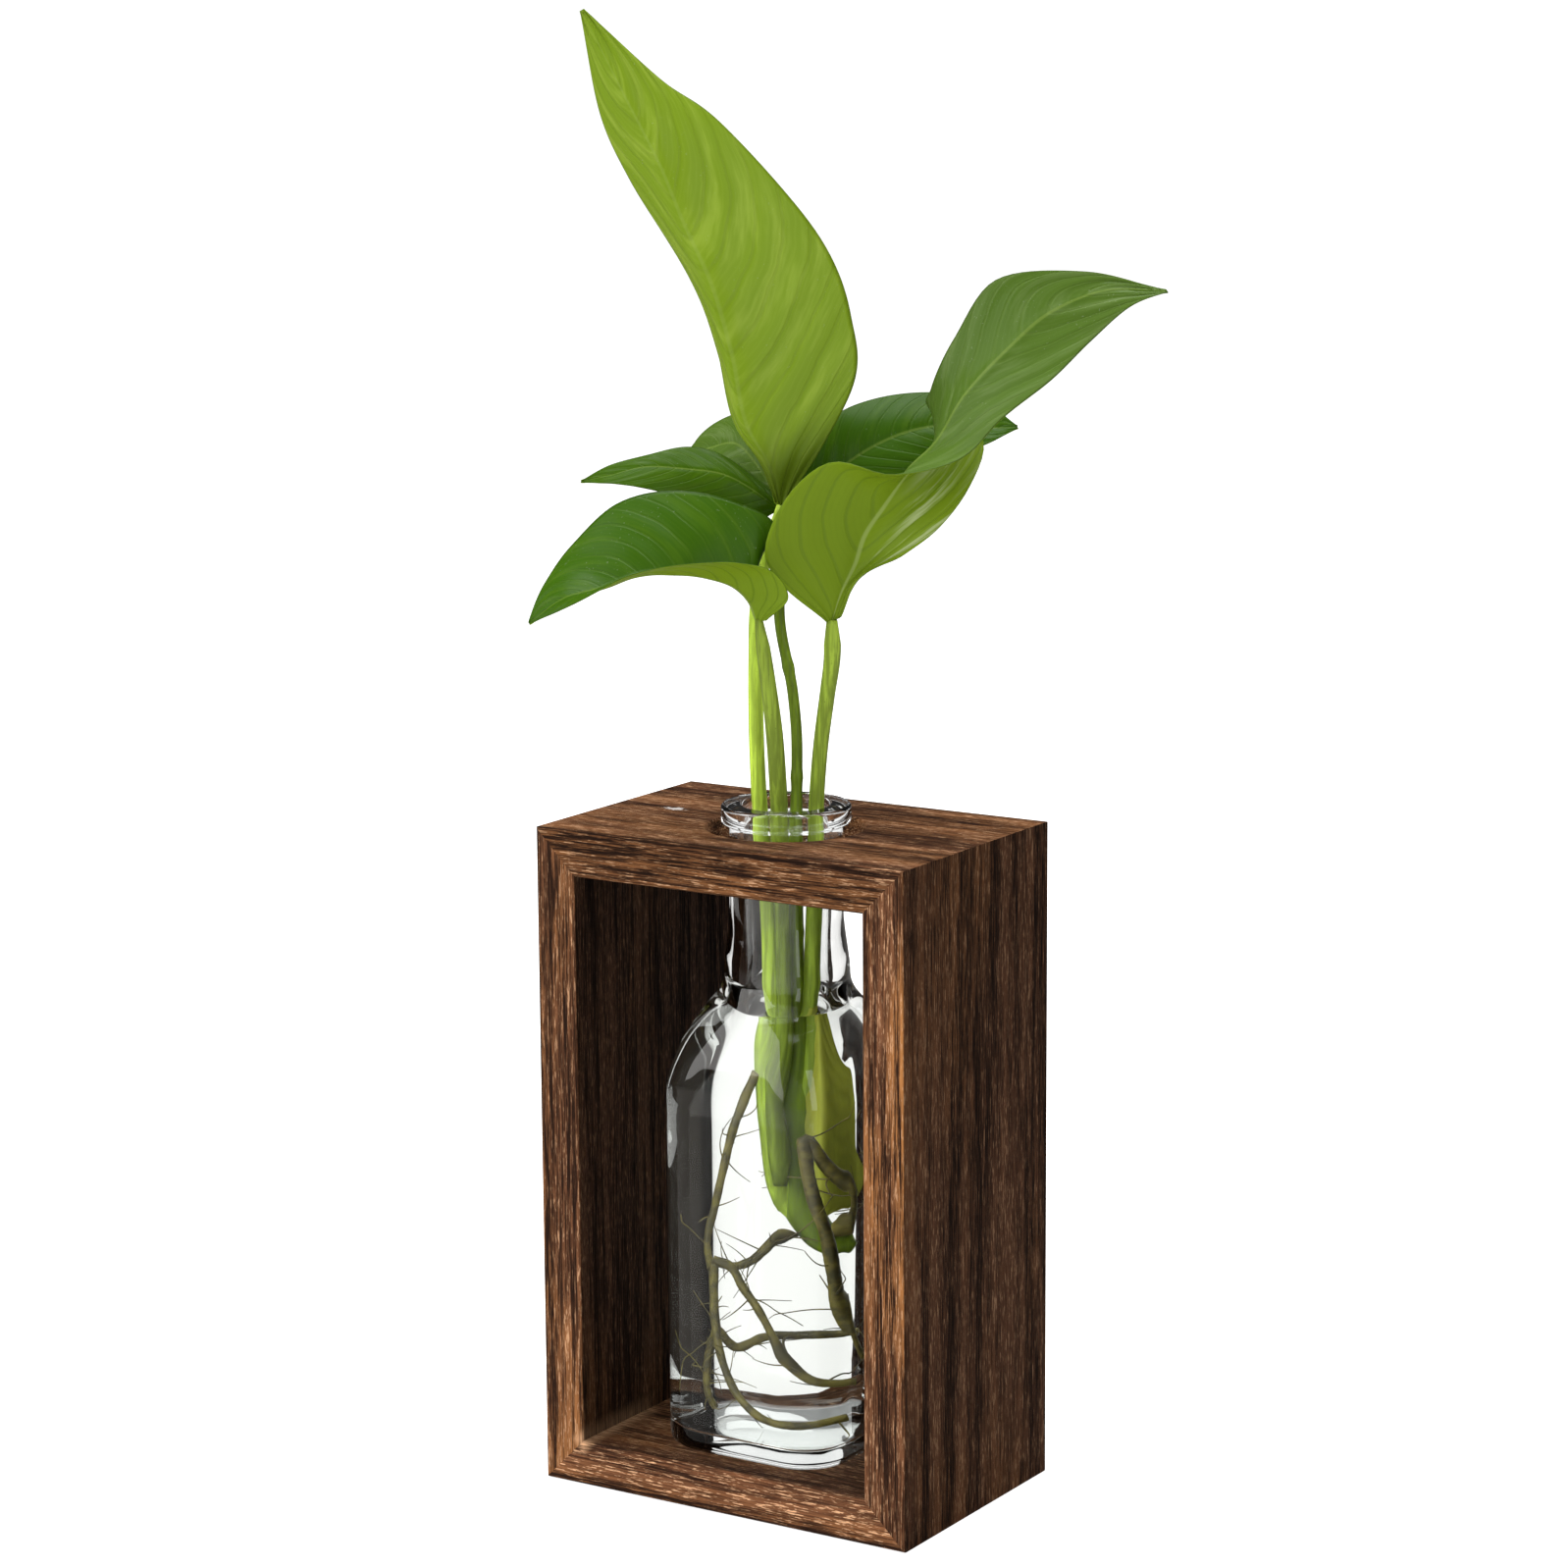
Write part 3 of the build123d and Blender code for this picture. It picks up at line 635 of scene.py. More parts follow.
def smoothed(rows, count):
    """The rows read again along a smooth cubic, evenly by distance."""
    knots = knots_of(rows[:, [0, 2]])
    fine = smooth_rows(rows, knots, np.linspace(0.0, knots[-1], count))
    fine[:, 1] = np.clip(fine[:, 1], 0.0, 1.0)
    return fine


def inner_profile(settings, grow=0.0):
    """The inside of the glass from below the mouth's edge down to the middle of its floor, grown
    outwards by a small amount for the water that must touch it."""
    width = settings.body_width - 2 * settings.wall + 2 * grow
    corner = settings.corner_radius - settings.wall + grow
    foot = settings.mouth_radius + grow
    bottom = bottle_bottom + settings.floor - grow
    drop = settings.inner_drop
    heel, wall, shoulder = vessel_profile(
        settings, width, corner, foot, bottom, settings.inner_heel, drop
    )
    foot_height = bottle_bottom + settings.body_height + settings.shoulder_height - drop
    up, flare = np.array(bore_rows).T
    up[-1] = bottle_top - foot_height - bore_end
    bore = profile_rows(foot + flare, 1.0, foot_height + up)
    upper = smoothed(np.concatenate([shoulder, bore]), inner_steps)
    return np.concatenate([floor_rows(heel[0], 0.0), heel, wall, upper])[::-1]


def turned_skin(rows, sides):
    """Rings of a rounded square about the bottle's axis, one for each row of the profile."""
    turn = np.linspace(0.0, 2 * np.pi, sides, endpoint=False)
    reach = rounded_square(rows[:, :1], rows[:, :1] * rows[:, 1:2], turn[None, :])
    x = bottle_x + reach * np.cos(turn)
    y = bottle_y + reach * np.sin(turn)
    return np.stack([x, y, np.broadcast_to(rows[:, 2:], x.shape)], axis=-1)


# Stem and stalk routes: across and toward are shares of the mouth's radius, up is a share of the
# way from the glass floor to the mouth
stem_shares = (
    (0.78, 0.09, 0.290), (0.62, 0.07, 0.302), (0.46, 0.05, 0.330), (0.33, 0.03, 0.375),
    (0.28, 0.01, 0.435), (0.26, 0.00, 0.508), (0.20, -0.06, 0.720), (0.18, -0.10, 0.880),
    (0.26, -0.22, 1.030), (0.26, -0.30, 1.109), (0.18, -0.37, 1.170), (-0.12, -0.56, 1.286),
    (-0.11, -0.65, 1.359),
)
# The stem's thickness at even shares along it
stem_swell_shares = (0.90, 1.10, 1.25, 1.30, 1.25, 1.15, 1.10, 1.00, 0.70, 0.66, 0.64, 0.64, 0.68)
# The stem's swollen joints: shares along it, how much they swell and how far they reach
stem_nodes, ring_swell, ring_reach = (0.22, 0.47, 0.70, 0.86), 0.10, 0.008
# Each row is a place and, last, the stalk's thickness there
stalk_shares = {
    "tall_leaf": (
        (0.30, 0.05, 0.340, 1.10), (0.06, 0.06, 0.410, 1.45), (-0.08, 0.09, 0.490, 1.50),
        (-0.26, 0.18, 0.590, 1.40), (-0.36, 0.24, 0.690, 1.35), (-0.43, 0.26, 0.842, 1.30),
        (-0.64, 0.09, 1.018, 1.25), (-0.69, 0.14, 1.220, 1.20), (-0.64, 0.00, 1.322, 1.05),
        (-0.37, -0.20, 1.401, 0.95), (-0.08, -0.06, 1.466, 0.95),
    ),
    "front_left_leaf": (
        (0.10, 0.28, 0.400, 1.10), (-0.02, 0.33, 0.544, 1.25), (-0.08, 0.36, 0.690, 1.25),
        (-0.13, 0.45, 0.872, 1.35), (-0.19, 0.885, 1.036, 1.46), (-0.27, 1.00, 1.122, 1.42),
        (-0.42, 1.07, 1.210, 1.25), (-0.61, 1.10, 1.302, 1.05),
    ),
    "twisted_leaf": (
        (0.40, 0.06, 0.510, 1.30), (0.52, 0.10, 0.610, 1.35), (0.60, 0.13, 0.740, 1.35),
        (0.66, 0.13, 0.860, 1.32), (0.70, 0.10, 0.972, 1.25), (0.83, 0.09, 1.090, 1.22),
        (1.00, 0.19, 1.176, 1.25), (1.11, 0.28, 1.231, 1.35), (1.11, 0.37, 1.291, 1.45),
    ),
    "small_left_leaf": (
        (-0.12, -0.52, 1.364, 0.55), (-0.14, -0.43, 1.407, 0.55), (-0.14, -0.39, 1.460, 0.60),
    ),
    "rear_left_leaf": (
        (-0.20, -0.73, 1.364, 0.50), (-0.15, -0.85, 1.413, 0.55), (-0.11, -0.93, 1.458, 0.55),
    ),
    "rear_right_leaf": (
        (0.01, -0.73, 1.364, 0.50), (0.23, -0.93, 1.419, 0.55), (0.43, -1.09, 1.470, 0.60),
    ),
}
# Each stalk's tone inside the bottle and above it, as shares of the stalks' colour; the rise above the
# rim is painted light
stalk_tones_and_painted_light = {
    "tall_leaf": (1.6, 2.4), "front_left_leaf": (0.75, 0.95), "twisted_leaf": (1.1, 1.25),
    "small_left_leaf": (0.8, 0.9), "rear_left_leaf": (0.7, 0.7), "rear_right_leaf": (0.7, 0.7),
}
# Depth of the groove along a stalk, its thickness at foot and end, and over how many rows it closes
stalk_groove = 0.12
stalk_foot_share, stalk_end_share, closing_rows = 0.5, 0.6, 6
# Rows and sides of the tubes
stem_rows, stem_sides = 160, 28
stalk_rows, stalk_sides = 100, 24
root_rows, root_sides = 90, 16
hair_rows, hair_sides = 14, 6
# How dark the streaks are, as shares of the skin's own colour, and what is added to the blotches' scale
stem_shaded, stalk_shaded, sheath_shaded = 0.6, 0.55, 0.78
stem_seed, sheath_seed = 3.0, 9.0
# Root routes: across and toward are shares of half the bottle's inner width, up is as for stems
root_shares = {
    "root_1": (
        (0.33, 0.10, 0.320), (0.46, 0.30, 0.385), (0.30, 0.42, 0.445), (0.18, 0.46, 0.488),
        (0.185, 0.46, 0.445), (0.23, 0.45, 0.390), (0.31, 0.43, 0.330), (0.35, 0.40, 0.265),
        (0.375, 0.36, 0.205), (0.45, 0.30, 0.155), (0.56, 0.20, 0.115),
    ),
    "root_2": ((0.06, 0.00, 0.440), (0.34, -0.10, 0.425), (0.47, -0.12, 0.390), (0.57, -0.10, 0.350)),
    "root_3": (
        (-0.18, 0.10, 0.575), (-0.44, 0.14, 0.500), (-0.58, 0.16, 0.430), (-0.70, 0.16, 0.360),
        (-0.79, 0.15, 0.305), (-0.76, 0.16, 0.262),
    ),
    "root_4": (
        (0.10, 0.06, 0.322), (-0.08, 0.19, 0.300), (-0.28, 0.22, 0.278), (-0.50, 0.21, 0.268),
        (-0.75, 0.17, 0.275),
    ),
    "root_5": (
        (-0.72, 0.17, 0.276), (-0.52, 0.24, 0.268), (-0.40, 0.30, 0.240), (-0.22, 0.32, 0.205),
        (-0.06, 0.32, 0.165), (0.06, 0.34, 0.120), (0.22, 0.34, 0.088), (0.48, 0.28, 0.078),
    ),
    "root_6": (
        (-0.71, 0.17, 0.272), (-0.72, 0.16, 0.220), (-0.70, 0.20, 0.160), (-0.62, 0.30, 0.105),
        (-0.46, 0.45, 0.060), (-0.22, 0.60, 0.034), (0.10, 0.62, 0.024), (0.44, 0.50, 0.030),
    ),
    "root_7": (
        (-0.66, 0.11, 0.158), (-0.44, 0.04, 0.130), (-0.10, 0.00, 0.146), (0.20, -0.02, 0.152),
        (0.42, 0.00, 0.150),
    ),
    "root_8": (
        (-0.68, 0.12, 0.160), (-0.76, 0.09, 0.125), (-0.80, 0.08, 0.085), (-0.78, 0.08, 0.050),
        (-0.70, 0.08, 0.030),
    ),
}
# Each leaf is a list of cross sections from its stalk to its tip: left edge, midrib and right edge,
# each as across, toward and up from the foot of the leaf, in hundredths of its length
leaf_sections = {
    "tall_leaf": (
        ((-1, 0, 1), (0, 0, 0), (2, 0, 2)),
        ((-4, -1, 9), (-2, 1, 8), (8, -2, 11)),
        ((-8, -3, 15), (-6, 1, 15), (14, -4, 22)),
        ((-12, -6, 29), (-9, 0, 29), (14, -6, 36)),
        ((-17, -8, 42), (-13, -1, 43), (9, -8, 49)),
        ((-22, -10, 52), (-18, -3, 54), (0, -8, 61)),
        ((-28, -11, 62), (-22, -4, 64), (-11, -8, 73)),
        ((-34, -11, 74), (-29, -6, 78), (-22, -8, 81)),
        (-37, -8, 94),
    ),
    "twisted_leaf": (
        ((-1, 1, 0), (0, 0, 0), (2, 0, 1)),
        ((-10, 5, 8), (2, 0, 6), (6, 2, 10)),
        ((-14, 7, 16), (5, -1, 12), (15, 3, 15)),
        ((-10, 7, 26), (7, -1, 18), (22, 3, 20)),
        ((-1, 8, 34), (11, -1, 24), (29, -1, 28)),
        ((12, 8, 32), (16, 0, 31), (32, -10, 37)),
        ((25, 8, 35), (22, 0, 37), (22, -13, 43)),
        ((35, 7, 43), (28, 0, 47), (22, -10, 48)),
        ((46, 5, 51), (37, 0, 57), (26, -7, 59)),
        ((54, 3, 59), (45, -1, 64), (34, -5, 71)),
        ((62, 2, 66), (57, -1, 69), (53, -3, 73)),
        (70, 0, 69),
    ),
    "rear_right_leaf": (
        ((-3, 0, 2), (0, 0, 0), (3, 0, -1)),
        ((3, -3, 21), (14, 0, 11), (27, 3, 2)),
        ((14, -10, 35), (29, -3, 21), (44, 3, 7)),
        ((35, -17, 43), (49, -7, 29), (59, 0, 13)),
        ((57, -21, 44), (66, -10, 31), (72, -3, 19)),
        ((80, -21, 41), (83, -14, 29), (84, -7, 24)),
        (96, -17, 29),
    ),
    "front_left_leaf": (
        ((3, 3, 0), (0, 0, 0), (-2, -3, 1)),
        ((12, 10, 10), (-3, 0, 8), (1, -10, 24)),
        ((7, 13, 21), (-9, 2, 14), (7, -12, 36)),
        ((-8, 16, 26), (-20, 3, 18), (-10, -12, 46)),
        ((-28, 19, 25), (-32, 6, 20), (-32, -14, 50)),
        ((-48, 22, 21), (-47, 8, 20), (-56, -12, 46)),
        ((-62, 22, 16), (-62, 10, 15), (-75, -10, 30)),
        ((-78, 17, 8), (-77, 11, 11), (-85, 0, 16)),
        (-91, 11, 1),
    ),
    "small_left_leaf": (
        ((-2, 0, -2), (0, 0, 0), (1, 0, 3)),
        ((-11, 2, -6), (-10, 0, 8), (-7, -8, 12)),
        ((-28, 4, 0), (-26, 0, 17), (-24, -10, 24)),
        ((-49, 5, 7), (-45, 0, 20), (-42, -10, 29)),
        ((-70, 6, 12), (-66, 0, 21), (-62, -6, 27)),
        ((-85, 4, 14), (-82, 0, 17), (-82, -4, 22)),
        (-96, -2, 14),
    ),
    "rear_left_leaf": (
        ((-2, 0, -1), (0, 0, 0), (1, 0, 3)),
        ((-21, -8, 6), (-11, -12, 20), (-2, -20, 30)),
        ((-33, -16, 11), (-22, -24, 30), (-14, -36, 43)),
        ((-46, -24, 13), (-34, -36, 27), (-26, -46, 41)),
        ((-53, -34, 10), (-46, -44, 21), (-42, -52, 30)),
        (-55, -48, 8),
    ),
}
# The sheath in the same way, from its top, whose place is a row like the stem's
sheath_sections = (
    ((-3, -2, 2), (0, 0, 0), (3, -2, 2)),
    ((-4.5, -3, -30), (0, 1, -30), (5.5, -3, -30)),
    ((-5.0, -3, -64), (0, 1, -64), (6.5, -4, -64)),
    ((-4.5, -3, -96), (0, 1, -96), (6.5, -3, -94)),
    (0, 1, -100),
)
sheath_top_shares = (0.60, 0.32, 0.655)
# Each leaf's length, its arch as a share of its width, the number, depth and start of its waves,
# whose greens it has, and the strengths of its streaks, specks, roughness, veins and the painted
# shadow at its base
leaf_looks = {
    "tall_leaf": (132 * mm, 0.05, (2.0, 0.006, 0.1), "tall", (0.6, 0.12, 0.42, -0.12, 0.85)),
    "twisted_leaf": (120 * mm, 0.04, (2.5, 0.008, 0.3), "twist", (0.6, 0.15, 0.38, 0.03, 0.0)),
    "rear_right_leaf": (58 * mm, 0.10, (1.5, 0.010, 0.2), "dark", (0.4, 0.08, 0.42, 0.03, 0.3)),
    "front_left_leaf": (63 * mm, 0.10, (1.5, 0.012, 0.6), "dark", (0.4, 0.22, 0.40, 0.03, 0.2)),
    "small_left_leaf": (52 * mm, 0.10, (1.5, 0.010, 0.4), "bright", (0.4, 0.08, 0.42, 0.03, 0.2)),
    "rear_left_leaf": (50 * mm, 0.12, (1.5, 0.012, 0.1), "twist", (0.8, 0.2, 0.34, 0.05, 0.0)),
}
# The sheath's length, arch, waves, thickness, rib, fold, rows and columns
sheath_look = (50 * mm, 0.25, (1.0, 0.004, 0.3), 0.35 * mm, 0.1 * mm, 0.4, 60, 12)
# How round a blade's crease is, and how wide its tip stays
leaf_fold = 0.10
tip_share = 0.06
# How deep a blade's foot sits in its stalk
leaf_seat = 0.4 * mm
# Blades whose edges are listed from right to left as seen from their upper face
turned_over = ("twisted_leaf",)
# How far a blade's rows close up towards its ends, and its columns towards its margins
row_crowding, column_crowding = 0.6, 0.35
# How far the waves of a blade's two halves are out of step
wave_shift = 0.13
# Depth, number, sweep and bend of the swellings between the side veins
quilt = (0.0016, 9, 2.2, 1.4)
# Depth and width of the groove above the midrib, and width and end of the rib below it
groove_share, groove_reach, rib_reach, rib_end = 0.35, 0.05, 0.045, 1.05
# How much thinner a blade is at its margins
margin_thinning = 0.55


def inner_floor():
    """Height of the glass floor that the water stands on."""
    return bottle_bottom + bpy.context.scene.vase_bottle.floor


def stem_places(settings, shares):
    """Places on a stem or stalk."""
    reach = bpy.context.scene.vase_bottle.mouth_radius
    return spray_points(settings, shares, reach, bottle_top - inner_floor(), inner_floor())


def root_places(settings, shares):
    """Places on a root."""
    bottle = bpy.context.scene.vase_bottle
    reach = bottle.body_width / 2 - bottle.wall
    return spray_points(settings, shares, reach, bottle_top - inner_floor(), inner_floor())


def grid_up(face):
    """Which way each place of a blade's upper face looks."""
    return unit(np.cross(np.gradient(face, axis=1), np.gradient(face, axis=0)))


def blade_grid(settings, name, foot, rows, size, arch, waves, thickness, rib, fold, samples=96, half=16):
    """A closed leaf as rings. Smooth cubics run along the left edge, the midrib and the right edge.
    Across, the upper face goes straight from midrib to edge, plus an arch that is greatest halfway
    and waves that grow with the square of the distance from the midrib. The fold rounds the crease
    at the midrib. The underside lies a thickness below, which thins towards the margins and swells
    at the midrib as a bell curve."""
    sections = spray_steps(settings, np.array(rows[:-1]) / 100, size)
    tip = spray_steps(settings, np.array(rows[-1]) / 100, size)
    last = tip + (sections[-1] - sections[-1][1]) * tip_share
    lines = foot + np.concatenate([sections, last[None]])
    knots = knots_of(lines[:, 1])
    even = np.linspace(0.0, 1.0, samples)
    along = knots[-1] * (even - row_crowding * np.sin(2 * np.pi * even) / (2 * np.pi))
    fine = smooth_rows(lines, knots, along)
    left, middle, right = fine[:, None, 0], fine[:, None, 1], fine[:, None, 2]
    steps = np.linspace(-1, 1, 2 * half + 1)
    spread = np.sin(steps * np.pi / 2) * column_crowding + steps * (1 - column_crowding)
    across = spread[None, :, None]
    off = np.abs(across)
    soft = (np.sqrt(across**2 + fold**2) - fold) / (np.sqrt(1 + fold**2) - fold)
    face = middle + (right - middle) * (soft + across) / 2 + (left - middle) * (soft - across) / 2
    width = np.linalg.norm(fine[:, 2] - fine[:, 0], axis=1)[:, None, None]
    share = (along / knots[-1])[:, None, None]
    taper = np.clip(np.sin(np.pi * share), 0.0, 1.0) ** 0.5
    cycles, depth, phase = waves
    ripple = np.sin(2 * np.pi * (cycles * share + phase + wave_shift * np.sign(across)))
    quilt_depth, count, sweep, bend = quilt
    swelling = np.sin(2 * np.pi * (count * share - sweep * off**bend)) * off * (1 - off) * 4
    lift = arch * width * off * (1 - off) + depth * size * across**2 * ripple * taper
    lift = lift + quilt_depth * size * swelling
    face = face + grid_up(face) * (lift - groove_share * rib * bell(across, groove_reach) * (1 - share))
    below = thickness * (1 - margin_thinning * across**2)
    below = below + rib * bell(across, rib_reach) * (rib_end - share)
    ring = np.concatenate([face, (face - grid_up(face) * below)[:, ::-1]], axis=1)
    flat = np.broadcast_to(spread, face.shape[:2])
    is_upper = np.concatenate([np.ones_like(flat), np.zeros_like(flat)], axis=1)
    attributes = {
        "across": np.concatenate([flat, flat[:, ::-1]], axis=1),
        "along": np.broadcast_to(share[..., 0], ring.shape[:2]),
        "upper": 1 - is_upper if name in turned_over else is_upper,
    }
    return ring, attributes


# Side veins: their number along a blade, how they sweep and bend, and how they wander
vein_count, vein_sweep, vein_bend, vein_wander = 13.0, 3.4, 1.35, 0.55
# Fine lines for each vein, and how the cloudy streaks are drawn out along the veins
lines_per_vein, cloud_stretch = 4, 0.55
# Scale, detail and roughness of the leaf's noises
cloud_noise, dust_noise, speck_noise = (2.2, 4.0, 0.62), (90.0, 3.0), (1400.0, 2.0, 0.6)
wander_noise = 60.0
# From where to where the midrib and the margin line show
midrib_edges, margin_edges = (0.042, 0.014), (0.965, 0.995)
# The same for veins, fine lines, streaks, dust and specks, and for the painted shadow at the base of a
# blade
vein_edges, fine_edges, streak_edges = (0.82, 1.0), (0.2, 1.0), (0.46, 0.66)
dust_edges, speck_edges, painted_shadow_edges = (0.42, 0.62), (0.66, 0.74), (0.16, 0.05)
# The same for the painted sheen underneath, a painted highlight, by its clouds and across the blade
painted_sheen_edges, painted_sheen_side = (0.50, 0.66), (0.05, 0.6)
# How strongly fine lines, midrib and margin show above, and fine lines, veins and painted sheen below
fine_above, midrib_above, margin_above = 0.10, 0.25, 0.6
fine_below, veins_below, painted_sheen_below = 0.15, 0.25, 0.75
# How dark the painted shadow at the base and the margin line, dark veins and the fine lines below are,
# as shares of the colour there
dark_share, dark_vein_share, fine_dark_share = 0.45, 0.35, 0.8
# What a leaf's underside adds to its roughness, and how much smoother than that its top is
dull_below, gloss_step = 0.04, 0.12
# How high the clouds stand and how deep the veins lie in the relief
cloud_height, vein_height = 0.5, 0.5
# Tones of the specks and of the painted sheen underneath, a painted highlight
speck_tone = (0.62, 0.66, 0.52)
painted_sheen_tone = (0.50, 0.58, 0.30)
# How much a leaf mirrors, its coat, and how much light passes through it
leaf_mirror, leaf_coat, coat_roughness, leaf_glow = 0.09, 0.03, 0.2, 0.18
# Height of a leaf's relief and its strength
leaf_relief = (0.25 * mm, 0.6)


def leaf_material(name, deep, light, vein, under, streaks, specks, gloss, vein_share, painted_base_shadow, seed):
    """Leaf skin. Side veins leave the midrib and sweep towards the tip, with pale streaks along them,
    fine specks, a light midrib, a thin margin line and a painted shadow at the foot of the blade. The
    underside is paler and duller, with a pale painted sheen, a painted highlight."""
    recipe = Recipe(name)
    along, across, upper = (recipe.attribute(key) for key in ("along", "across", "upper"))
    here = recipe.here()
    off = recipe.math("ABSOLUTE", across)
    line = along * vein_count - recipe.math("POWER", off, vein_bend) * vein_sweep
    line = line + recipe.noise(here, wander_noise) * vein_wander
    veins = recipe.shift(recipe.math("SINE", line * (2 * math.pi)), *vein_edges)
    fine = recipe.shift(recipe.math("SINE", line * (2 * math.pi * lines_per_vein)), *fine_edges)
    leaf_space = recipe.add("CombineXYZ", {0: line * cloud_stretch, 1: across * cloud_stretch, 2: seed})
    cloud = recipe.noise(leaf_space, *cloud_noise)
    streak = recipe.math("MULTIPLY", recipe.shift(cloud, *streak_edges), streaks, clamp=True)
    dusting = recipe.shift(recipe.noise(here, *dust_noise), *dust_edges)
    flecks = recipe.shift(recipe.noise(here, *speck_noise), *speck_edges) * dusting
    midrib = recipe.shift(off, *midrib_edges)
    # Painted sheen: a pale painted highlight on the underside
    painted_sheen = recipe.shift(cloud, *painted_sheen_edges) * recipe.shift(across, *painted_sheen_side)
    dark = dimmed(deep, dark_share)
    above = recipe.coats(
        deep,
        (streak, light),
        (fine * fine_above, light),
        (veins * abs(vein_share), vein if vein_share > 0 else dimmed(deep, dark_vein_share)),
        (flecks * specks, speck_tone),
        (midrib * midrib_above, vein),
        # Painted shadow at the foot of the blade
        (recipe.shift(along, *painted_shadow_edges) * painted_base_shadow, dark),
        (recipe.shift(off, *margin_edges) * margin_above, dark),
    )
    below = recipe.coats(
        under,
        (fine * fine_below, dimmed(under, fine_dark_share)),
        (veins * veins_below, deep),
        (painted_sheen * painted_sheen_below, painted_sheen_tone),
        (midrib, vein),
    )
    shade = recipe.mix(upper, below, above)
    skin = recipe.surface(
        Base_Color=shade, Roughness=gloss + dull_below - upper * gloss_step,
        Normal=recipe.bump(cloud * cloud_height - veins * vein_height, *leaf_relief),
        Specular_IOR_Level=leaf_mirror, Coat_Weight=leaf_coat, Coat_Roughness=coat_roughness,
    )
    through = recipe.add("BsdfTranslucent", {"Color": shade})
    return recipe.finish(recipe.add("MixShader", {0: leaf_glow, 1: skin, 2: through}))


# Heights between which a stalk comes out of the bottle and its painted light fades in
rim_low, rim_high = 165 * mm, 190 * mm
# Scale, detail and roughness of the noises of stalks and roots, and their relief's height and strength
streak_noise, fleck_noise, mottle_noise = (900.0, 3.0, 0.6), (1600.0, 2.0), (260.0, 4.0, 0.6)
stalk_relief, root_relief = (0.06 * mm, 0.5), (0.2 * mm, 0.8)
blotch_scale, blotch_detail, streak_stretch = 70.0, 3.0, (1.0, 1.0, 0.06)
# From where to where streaks, blotches and flecks of a stalk and the mottling of a root show
lengthwise_edges, blotch_edges, fleck_edges = (0.40, 0.68), (0.5, 0.75), (0.68, 0.76)
mottle_edges = (0.38, 0.66)
# How strongly blotches and flecks show, a fleck's tone, and a root's dark and light tones
blotch_share, fleck_share, fleck_dark, root_dark, root_light = 0.4, 0.5, 0.4, 0.5, 1.5
stalk_gloss, stalk_mirror, root_gloss = 0.42, 0.2, 0.55


def stalk_material(name, tone, shaded, seed, above=1.0):
    """Smooth stalk skin with lengthwise streaks and a few fine dark flecks. Its streaks are darker by
    the share shaded, and once it has come out of the bottle its tone is times the share above, as
    painted light."""
    recipe = Recipe(name)
    here = recipe.here()
    darker = dimmed(tone, shaded)
    streaks = recipe.noise(recipe.vector("MULTIPLY", here, streak_stretch), *streak_noise)
    blotch = recipe.shift(recipe.noise(here, blotch_scale + seed, blotch_detail), *blotch_edges)
    flecks = recipe.shift(recipe.noise(here, *fleck_noise), *fleck_edges)
    shade = recipe.mix(recipe.shift(streaks, *lengthwise_edges), darker, tone)
    fleck = dimmed(darker, fleck_dark)
    shade = recipe.coats(shade, (blotch * blotch_share, darker), (flecks * fleck_share, fleck))
    # Painted light: above the rim the tone is raised by the share above
    painted_light_mask = recipe.shift(recipe.part(here, 2), rim_low, rim_high)
    shade = recipe.mix(painted_light_mask, shade, recipe.vector("MULTIPLY", shade, (above, above, above)))
    relief = recipe.bump(streaks, *stalk_relief)
    return recipe.finish(recipe.surface(
        Base_Color=shade, Roughness=stalk_gloss, Normal=relief, Specular_IOR_Level=stalk_mirror
    ))


def root_material(name, tone):
    """Root skin, mottled from olive to brown."""
    recipe = Recipe(name)
    mottle = recipe.noise(recipe.here(), *mottle_noise)
    dark, light = dimmed(tone, root_dark), dimmed(tone, root_light)
    shade = recipe.mix(recipe.shift(mottle, *mottle_edges), dark, light)
    relief = recipe.bump(mottle, *root_relief)
    return recipe.finish(recipe.surface(Base_Color=shade, Roughness=root_gloss, Normal=relief))


# Each board's grain axis, which way it faces outwards, the start of its noise, and its look: warmth,
# strokes, the painted light and shade of face, front edge and inner face, and the front edge's warmth
board_looks = {
    "top_board": (0, (2, 1.0), 1.3, (0.32, 0.90, 1.10, 1.0, 0.5, 0.35)),
    "base_board": (0, (2, -1.0), 4.1, (0.35, 0.95, 0.9, 1.65, 0.62, 0.5)),
    "left_side_board": (2, (0, -1.0), 2.2, (0.30, 0.60, 0.8, 1.35, 0.26, 0.6)),
    "right_side_board": (2, (0, 1.0), 5.7, (0.30, 0.60, 0.50, 1.35, 0.3, 1.2)),
}


class VASE_OT_frame(bpy.types.Operator):
    """Finishes the four mitred boards of the frame in torched wood"""

    bl_idname = "vase.frame"
    bl_label = "Wooden frame"

    def execute(self, context):
        for name, look in board_looks.items():
            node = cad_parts[name]
            node.data.materials.clear()
            node.data.materials.append(torched_wood(f"{name} wood", context.scene.vase_wood, *look))
        return {"FINISHED"}


# Points round the bottle, how far the water reaches into its glass, and its raised edge's reach
bottle_sides = 160
water_overlap = 0.06 * mm
meniscus_reach = 1.6 * mm


class VASE_OT_bottle(bpy.types.Operator):
    """Builds the square glass bottle with its round neck and heavy lip"""

    bl_idname = "vase.bottle"
    bl_label = "Glass bottle"

    def execute(self, context):
        settings = context.scene.vase_bottle
        rows, wet = bottle_profile(settings)
        piece = closed_skin("glass_bottle", turned_skin(rows, bottle_sides), {"wet": wet[:, None]})
        glass = see_through("clear glass", settings.glass_tint, glass_index)
        dress(piece, glass, "clear_glass", "bottle", "bottle")
        return {"FINISHED"}


